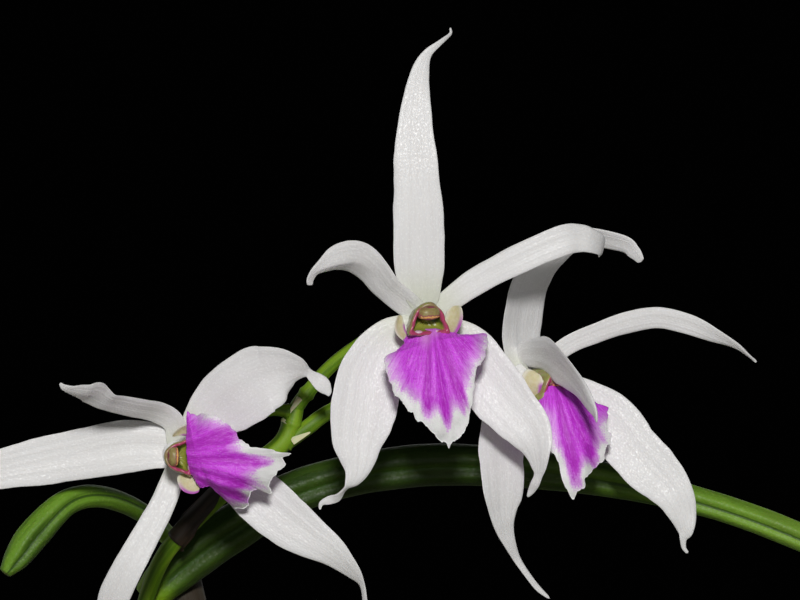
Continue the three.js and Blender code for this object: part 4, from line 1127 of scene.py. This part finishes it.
for number, growth in enumerate(growths):
    stem, stations = newShell(), growthStem(growth)
    stalk(stem, stations, stemLook, (0, -1, 0), seed=number * 4.0)
    for fromT, toT, tear in sheathLook["sleeves"]:
        sheath(stem, stations, fromT, toT, sheathLook, number + tear, growth.get("sheath", 1.0))
    makePiece(growth["name"] + "Stem", stem, drySheath, [growth["name"] + "_stem"])

    leaf, stations = newShell(), growth.get("leaf") or archedLeaf(growth)
    # the flowering growth's flag turns on its painted light and painted shade
    facing, paintedLight = growth.get("facing", (0, 0, 1)), growth.get("paintedLight", 0.0)
    stalk(leaf, stations, leafLook, facing, grooved, kind=paintedLight, seed=number * 6.0)
    makePiece(growth["name"] + "Leaf", leaf, leafGreen, [growth["name"] + "_leaf"])
print("growths ready")


# Flower stem: one peduncle, three pedicels, swollen joints and small bracts

flowerStem = {
    "look": {"steps": 60, "sides": 24, "lumps": 0.04},
    "runs": [
        [
            (-20.6, 14.3, 95.8, 0.8), (-19.9, 13.2, 99.8, 0.85), (-17.6, 11, 104.6, 0.9), (-12, 9.2, 110.4, 0.95),
            (-8.3, 8.9, 113.5, 1), (-5.9, 8.7, 115.5, 1), (-5, 8.6, 117.6, 0.95), (-4.6, 8.5, 119, 0.82),
        ],
        [
            (-4.6, 8.5, 119, 0.75), (-3.5, 8.2, 120.5, 0.74), (-0.2, 7.3, 124, 0.68), (5, 5.4, 127.4, 0.63),
            (8.3, 3.9, 128.3, 0.66),
        ],
        [(-4.7, 8.5, 118.6, 0.7), (-7.4, 7.6, 118.8, 0.64), (-11.8, 5.6, 117.4, 0.6), (-15.9, 3.2, 114.8, 0.64)],
        [
            (-5.9, 8.8, 115.2, 0.75), (-4.9, 8.8, 115.9, 0.78), (-3.2, 8.9, 117.2, 0.8), (-1, 9.5, 118.7, 0.78),
            (6, 12, 122.1, 0.8), (14, 14.4, 122.8, 0.8), (17, 12.7, 122.1, 0.75),
        ],
    ],
    "joints": [(0, 0.85), (1, 0.25), (2, 0.1), (3, 0.06)],  # run, share of its length
    "swollen": 0.2,
    "bracts": [
        {"root": (-4.15, 7.4, 120.1), "tip": (-5.4, 7.5, 118.35), "width": 0.7},
        {"root": (-5.0, 7.75, 115.65), "tip": (-3.1, 7.9, 116.6), "width": 0.85},
        {"root": (-6.0, 7.6, 117.9), "tip": (-4.9, 7.5, 117.2), "width": 0.45},
    ],
    "bractLook": {**clawLook, "steps": 24, "thick": 0.35, "tipFrom": 0.95, "ruffle": 0.03, "crimp": 0.02},
    "sleeve": {"from": 0.31, "to": 0.46, "look": {"rows": 30, "around": 32, "gap": 0.08, "thick": 0.12}},
}

spray = newShell()
for number, run in enumerate(flowerStem["runs"]):
    swellings = [t for which, t in flowerStem["joints"] if which == number]

    def jointed(angle, t):
        return 1 + sum(flowerStem["swollen"] * math.exp(-((t - at) / 0.02) ** 2) for at in swellings)

    stalk(spray, run, flowerStem["look"], (0, -1, 0), jointed, seed=number * 3.0)
for number, bract in enumerate(flowerStem["bracts"]):
    root, tip, width = Vector(bract["root"]), Vector(bract["tip"]), bract["width"]
    stations = [(*root, width), (*((root + tip) / 2), width * 0.62), (*tip, 0.16)]
    blade(spray, stations, (0, -1, 0.2), flowerStem["bractLook"], seed=number, kind=1.0)
sleeve = flowerStem["sleeve"]
sheath(spray, flowerStem["runs"][0], sleeve["from"], sleeve["to"], sleeve["look"], 0.4, kind=2.0)
makePiece("flowerStem", spray, stemGreen, ["flower_stem"])
print("flower stem ready")


# Rhizome and roots

rhizome = {
    "height": 69.5,
    "radius": 1.7,
    "stemLook": {"steps": 90, "sides": 28, "lumps": 0.10},
    "scars": {"count": 14, "high": 0.07},
    "rootLook": {"steps": 60, "sides": 18, "lumps": 0.12},
    "rootRun": [(0, -0.5, 0.9), (1, -2.2, 0.95), (2, -6, 0.8), (2, -13, 0.6)],  # point, below the rhizome, radius
    "stems": [
        [(27, -9, 0), (17, -4, 0.4), (7, 1, 0), (-4, 6, 0.5), (-13, 11, 0), (-21.5, 16, 0.3)],
        [(9, 0, 0), (4, -8, 0.3), (-4, -14.5, 0)],
    ],
    "roots": [
        [(24, -8), (29, -2), (30, 5)], [(15, -3), (19, 6), (15, 14)], [(11, -2), (16, -12), (12, -21)],
        [(2, 4), (1, 13), (5, 21)], [(-2, -13), (-1, -21), (6, -25)], [(-5, -14), (-14, -13), (-21, -8)],
        [(-9, 9), (-15, 2), (-23, 1)], [(-20, 15), (-26, 12), (-28, 4)], [(-17, 14), (-16, 22), (-9, 26)],
    ],
}


def ringed(angle, t):
    # leaf scars ring the rhizome, and its ends are round
    close = rounded(max(0.0, (t - 0.97) / 0.03, 1 - t / 0.03), 0.1)
    return close * (1 + rhizome["scars"]["high"] * abs(math.sin(t * math.pi * rhizome["scars"]["count"])) ** 6)


creeping = newShell()
for number, run in enumerate(rhizome["stems"]):
    stations = [(x, y, rhizome["height"] + z, rhizome["radius"]) for x, y, z in run]
    stalk(creeping, stations, rhizome["stemLook"], (0, 0, 1), ringed, kind=1.0, seed=number * 5.0)
for number, run in enumerate(rhizome["roots"]):
    stations = [(*run[point], rhizome["height"] + drop, radius) for point, drop, radius in rhizome["rootRun"]]
    stalk(creeping, stations, rhizome["rootLook"], (0, 0, 1), seed=number * 2.0 + 20)
makePiece("rhizomeAndRoots", creeping, rootChalk, ["rhizome_and_roots"])
print("rhizome ready")


# Pot and bark

pot = {
    "around": 160,
    "profile": [
        (0, 0), (14, 0), (25, 0), (25.7, 0.25), (26.05, 1), (27.4, 9), (29, 18.6), (30.7, 28.6), (32.4, 38.6), (34, 48),
        (35, 55.2), (35.3, 55.75), (36, 56), (38.4, 56), (39.1, 56.15), (39.5, 56.6), (39.65, 57.3), (39.75, 62),
        (39.9, 68), (40, 72), (39.9, 73), (39.4, 73.7), (38.5, 74), (37.3, 74), (36.3, 73.8), (35.75, 73.2),
        (35.5, 72.3), (34.6, 66), (33.4, 58.6), (32.5, 54), (30, 40), (26.6, 22), (23.2, 8), (22.6, 6.8), (21, 6),
        (12, 6), (0, 6),
    ],
    "holes": {"count": 3, "radius": 3.5, "circle": 14, "from": -4, "to": 12, "sides": 40},
}


def turned(shell, profile, around, uneven=0.0, seed=0.0):
    # a closed turned shape: the profile starts and ends on the axis
    rings, height = [], max(p[1] for p in profile)
    for r, z in profile[1:-1]:
        ring = []
        for angle in turns(around):
            place = onCircle(r * (1 + uneven * ripple(math.cos(angle), math.sin(angle), z * 0.03 + seed)), angle, z)
            ring.append((place, (0.0, z / height, 0.0), tuple(place)))
        rings.append(ring)
    skin(shell, rings)


def drill(piece, centre, look):
    # an upright hole; its wall stays without flow and span
    cutter, nothing = newShell(), (0.0, 0.0, 0.0)
    rim = [centre + onCircle(look["radius"], way) for way in turns(look["sides"])]
    skin(cutter, [[(place + Vector((0, 0, z)), nothing, nothing) for place in rim] for z in (look["from"], look["to"])])
    tool = linked("drill", meshOf("drill", cutter, Vector()))
    cut = piece.modifiers.new("drainHole", "BOOLEAN")
    cut.operation, cut.solver, cut.object = "DIFFERENCE", "EXACT", tool
    bpy.context.view_layer.update()
    solid = bpy.data.meshes.new_from_object(piece.evaluated_get(bpy.context.evaluated_depsgraph_get()))
    piece.modifiers.clear()
    piece.data = solid
    bpy.data.objects.remove(tool)


clayPot = newShell()
turned(clayPot, pot["profile"], pot["around"])
potPiece = makePiece("pot", clayPot, terracotta, ["pot"])
for way in turns(pot["holes"]["count"]):
    drill(potPiece, onCircle(pot["holes"]["circle"], math.pi / 2 + way), pot["holes"])
print("pot ready")

bark = {
    "seed": 11,
    "bed": [
        (0, 6.4), (20.5, 6.4), (21.6, 7.2), (22.4, 9), (29, 42), (31.8, 55), (32.9, 61.4), (32.6, 63), (31, 64),
        (20, 64.2), (8, 64.4), (0, 64.4),
    ],
    "around": 96,
    "uneven": 0.01,
    "rings": [(31, 34, 0.7), (26.5, 26, 0.95), (21.5, 22, 1.0), (16, 17, 1.05), (10.5, 11, 1.1), (4.5, 6, 1.1)],
    "rim": 28,  # chips further out than this lie along the wall
    "crumbs": {"count": 70, "within": 29, "scale": (0.28, 0.5)},
    "top": 66.6,
    "size": (7.0, 4.6, 2.6),
    "cuts": (10, 7, 4),
}


def chip(shell, centre, size, turn, tone, rng):
    # a splintered flake: a rounded block, stepped and notched by noise
    (longWay, wide, thick), (countX, countY, countZ) = size, bark["cuts"]
    tilt = Matrix.Rotation(turn, 3, "Z")
    for most, axis in ((0.35, "X"), (0.3, "Y")):
        tilt = tilt @ Matrix.Rotation(rng.uniform(-most, most), 3, axis)
    off = Vector([rng.uniform(0, 90) for axis in range(3)])
    skew = rng.uniform(-0.35, 0.35)
    loop = [(2 * k / countY - 1, 1) for k in range(countY)] + [(1, 1 - 2 * k / countZ) for k in range(countZ)]
    loop += [(1 - 2 * k / countY, -1) for k in range(countY)] + [(-1, 2 * k / countZ - 1) for k in range(countZ)]
    rings = []
    for i in range(countX + 1):
        u = 2 * i / countX - 1
        ring = []
        for v, w in loop:
            local = Vector((u * longWay / 2 + skew * v * wide / 2, v * wide / 2, w * thick / 2))
            rough = noise.noise_vector(local * 0.45 + off) * 0.75 + noise.noise_vector(local * 1.4 + off) * 0.28
            layer = math.floor(2.2 * (noise.noise(Vector((u * 1.3, v * 1.6, 0)) + off) + 0.5))
            step = 0.35 * layer * (1 if w > 0 else 0)
            square = 1 - 0.16 * max(0.0, abs(u) - 0.7) / 0.3 - 0.1 * max(0.0, abs(v) - 0.7) / 0.3
            local = Vector((local.x, local.y * square, (local.z + step * thick * 0.16) * square)) + rough * 0.8
            ring.append((centre + tilt @ local, (v, u, tone), tuple(local + off)))
        rings.append(ring)
    skin(shell, rings)


rng = random.Random(bark["seed"])
noise.seed_set(bark["seed"])  # noise_vector shifts its three readings by this, or by the clock
mulch = newShell()
turned(mulch, bark["bed"], bark["around"], bark["uneven"])
line = [Vector((x, y)) for x, y, z in rhizome["stems"][0] + rhizome["stems"][1]]
for reach, count, scale in bark["rings"]:
    for n in range(count):
        angle = 2 * math.pi * (n + rng.uniform(-0.3, 0.3)) / count
        far = reach + rng.uniform(-1.6, 1.2) - (1.0 if reach > 30 else 0)
        spot = Vector((far * math.cos(angle), far * math.sin(angle)))
        size = tuple(side * scale * rng.uniform(0.75, 1.25) for side in bark["size"])
        near = min((spot - p).length for p in line)
        z = bark["top"] - size[2] / 2 + rng.uniform(-1.0, 0.9) - (0.8 if near < 5 else 0.0)
        along = angle + math.pi / 2
        turn = rng.uniform(0, math.pi) if reach < bark["rim"] else along + rng.uniform(-0.4, 0.4)
        chip(mulch, Vector((*spot, z)), size, turn, rng.random(), rng)
for n in range(bark["crumbs"]["count"]):
    angle, far = rng.uniform(0, 2 * math.pi), bark["crumbs"]["within"] * math.sqrt(rng.random())
    size = tuple(side * rng.uniform(*bark["crumbs"]["scale"]) for side in bark["size"])
    spot = onCircle(far, angle, bark["top"] + rng.uniform(-0.6, 0.7))
    chip(mulch, spot, size, rng.uniform(0, math.pi), rng.random(), rng)
makePiece("barkChips", mulch, firBark, ["bark"])
print("bark ready")


# Floor, light and camera

studio = {
    "floor": {"radius": 1.25, "sides": 128, "colour": (0.42, 0.415, 0.41)},
    "air": (0.0004, 0.0004, 0.0004),
    "lights": {
        "key": {"at": (0.02, -0.92, 0.42), "size": 0.13, "power": 6.5, "colour": (1.0, 0.99, 0.975)},
        "leftSide": {"at": (-0.95, 0.55, 0.25), "size": 0.7, "power": 0.8, "colour": (0.97, 0.98, 1.0)},
        "rightSide": {"at": (0.95, 0.55, 0.25), "size": 0.7, "power": 0.8, "colour": (0.97, 0.98, 1.0)},
        "back": {"at": (0.0, 1.1, 0.3), "size": 1.0, "power": 1.5, "colour": (1.0, 1.0, 1.0)},
    },
    "target": (0.0, 0.0, 0.115),
    "view": {"centre": (0.006, 0.0, 0.130), "distance": 0.5, "width": 0.080, "sensor": 36.0},
}

floorMesh, floorSides = bpy.data.meshes.new("floor"), studio["floor"]["sides"]
disc = [onCircle(studio["floor"]["radius"], angle) for angle in turns(floorSides)]
floorMesh.from_pydata(disc, [], [tuple(range(floorSides))])
floorFinish = {"look": {"Roughness": 0.7, "Base Color": (*studio["floor"]["colour"], 1.0)}}
floorMesh.materials.append(Paint("floorPaint", floorFinish).finished())
floor = linked("floor", floorMesh)

for lampName, lamp in studio["lights"].items():
    data = bpy.data.lights.new(lampName, "AREA")
    data.shape, data.size, data.energy, data.color = "DISK", lamp["size"], lamp["power"], lamp["colour"]
    holder = linked(lampName, data)
    holder.location = lamp["at"]
    holder.rotation_euler = (Vector(studio["target"]) - Vector(lamp["at"])).to_track_quat("-Z", "Y").to_euler()
    holder.visible_camera = False

world = bpy.data.worlds.new("studio")
bpy.context.scene.world = world
world.use_nodes = True
background = next(n for n in world.node_tree.nodes if n.type == "BACKGROUND")
background.inputs["Color"].default_value = (*studio["air"], 1.0)
background.inputs["Strength"].default_value = 1.0

view = studio["view"]
cameraData = bpy.data.cameras.new("camera")
cameraData.sensor_width = view["sensor"]
cameraData.lens = view["sensor"] * view["distance"] / view["width"]
cameraData.clip_start, cameraData.clip_end = 0.01, 20.0
camera = linked("camera", cameraData)
camera.location = Vector(view["centre"]) - Vector((0, view["distance"], 0))
camera.rotation_euler = (math.radians(90), 0, 0)
bpy.context.scene.camera = camera
bpy.context.scene.view_settings.view_transform = "Standard"
print("studio ready")
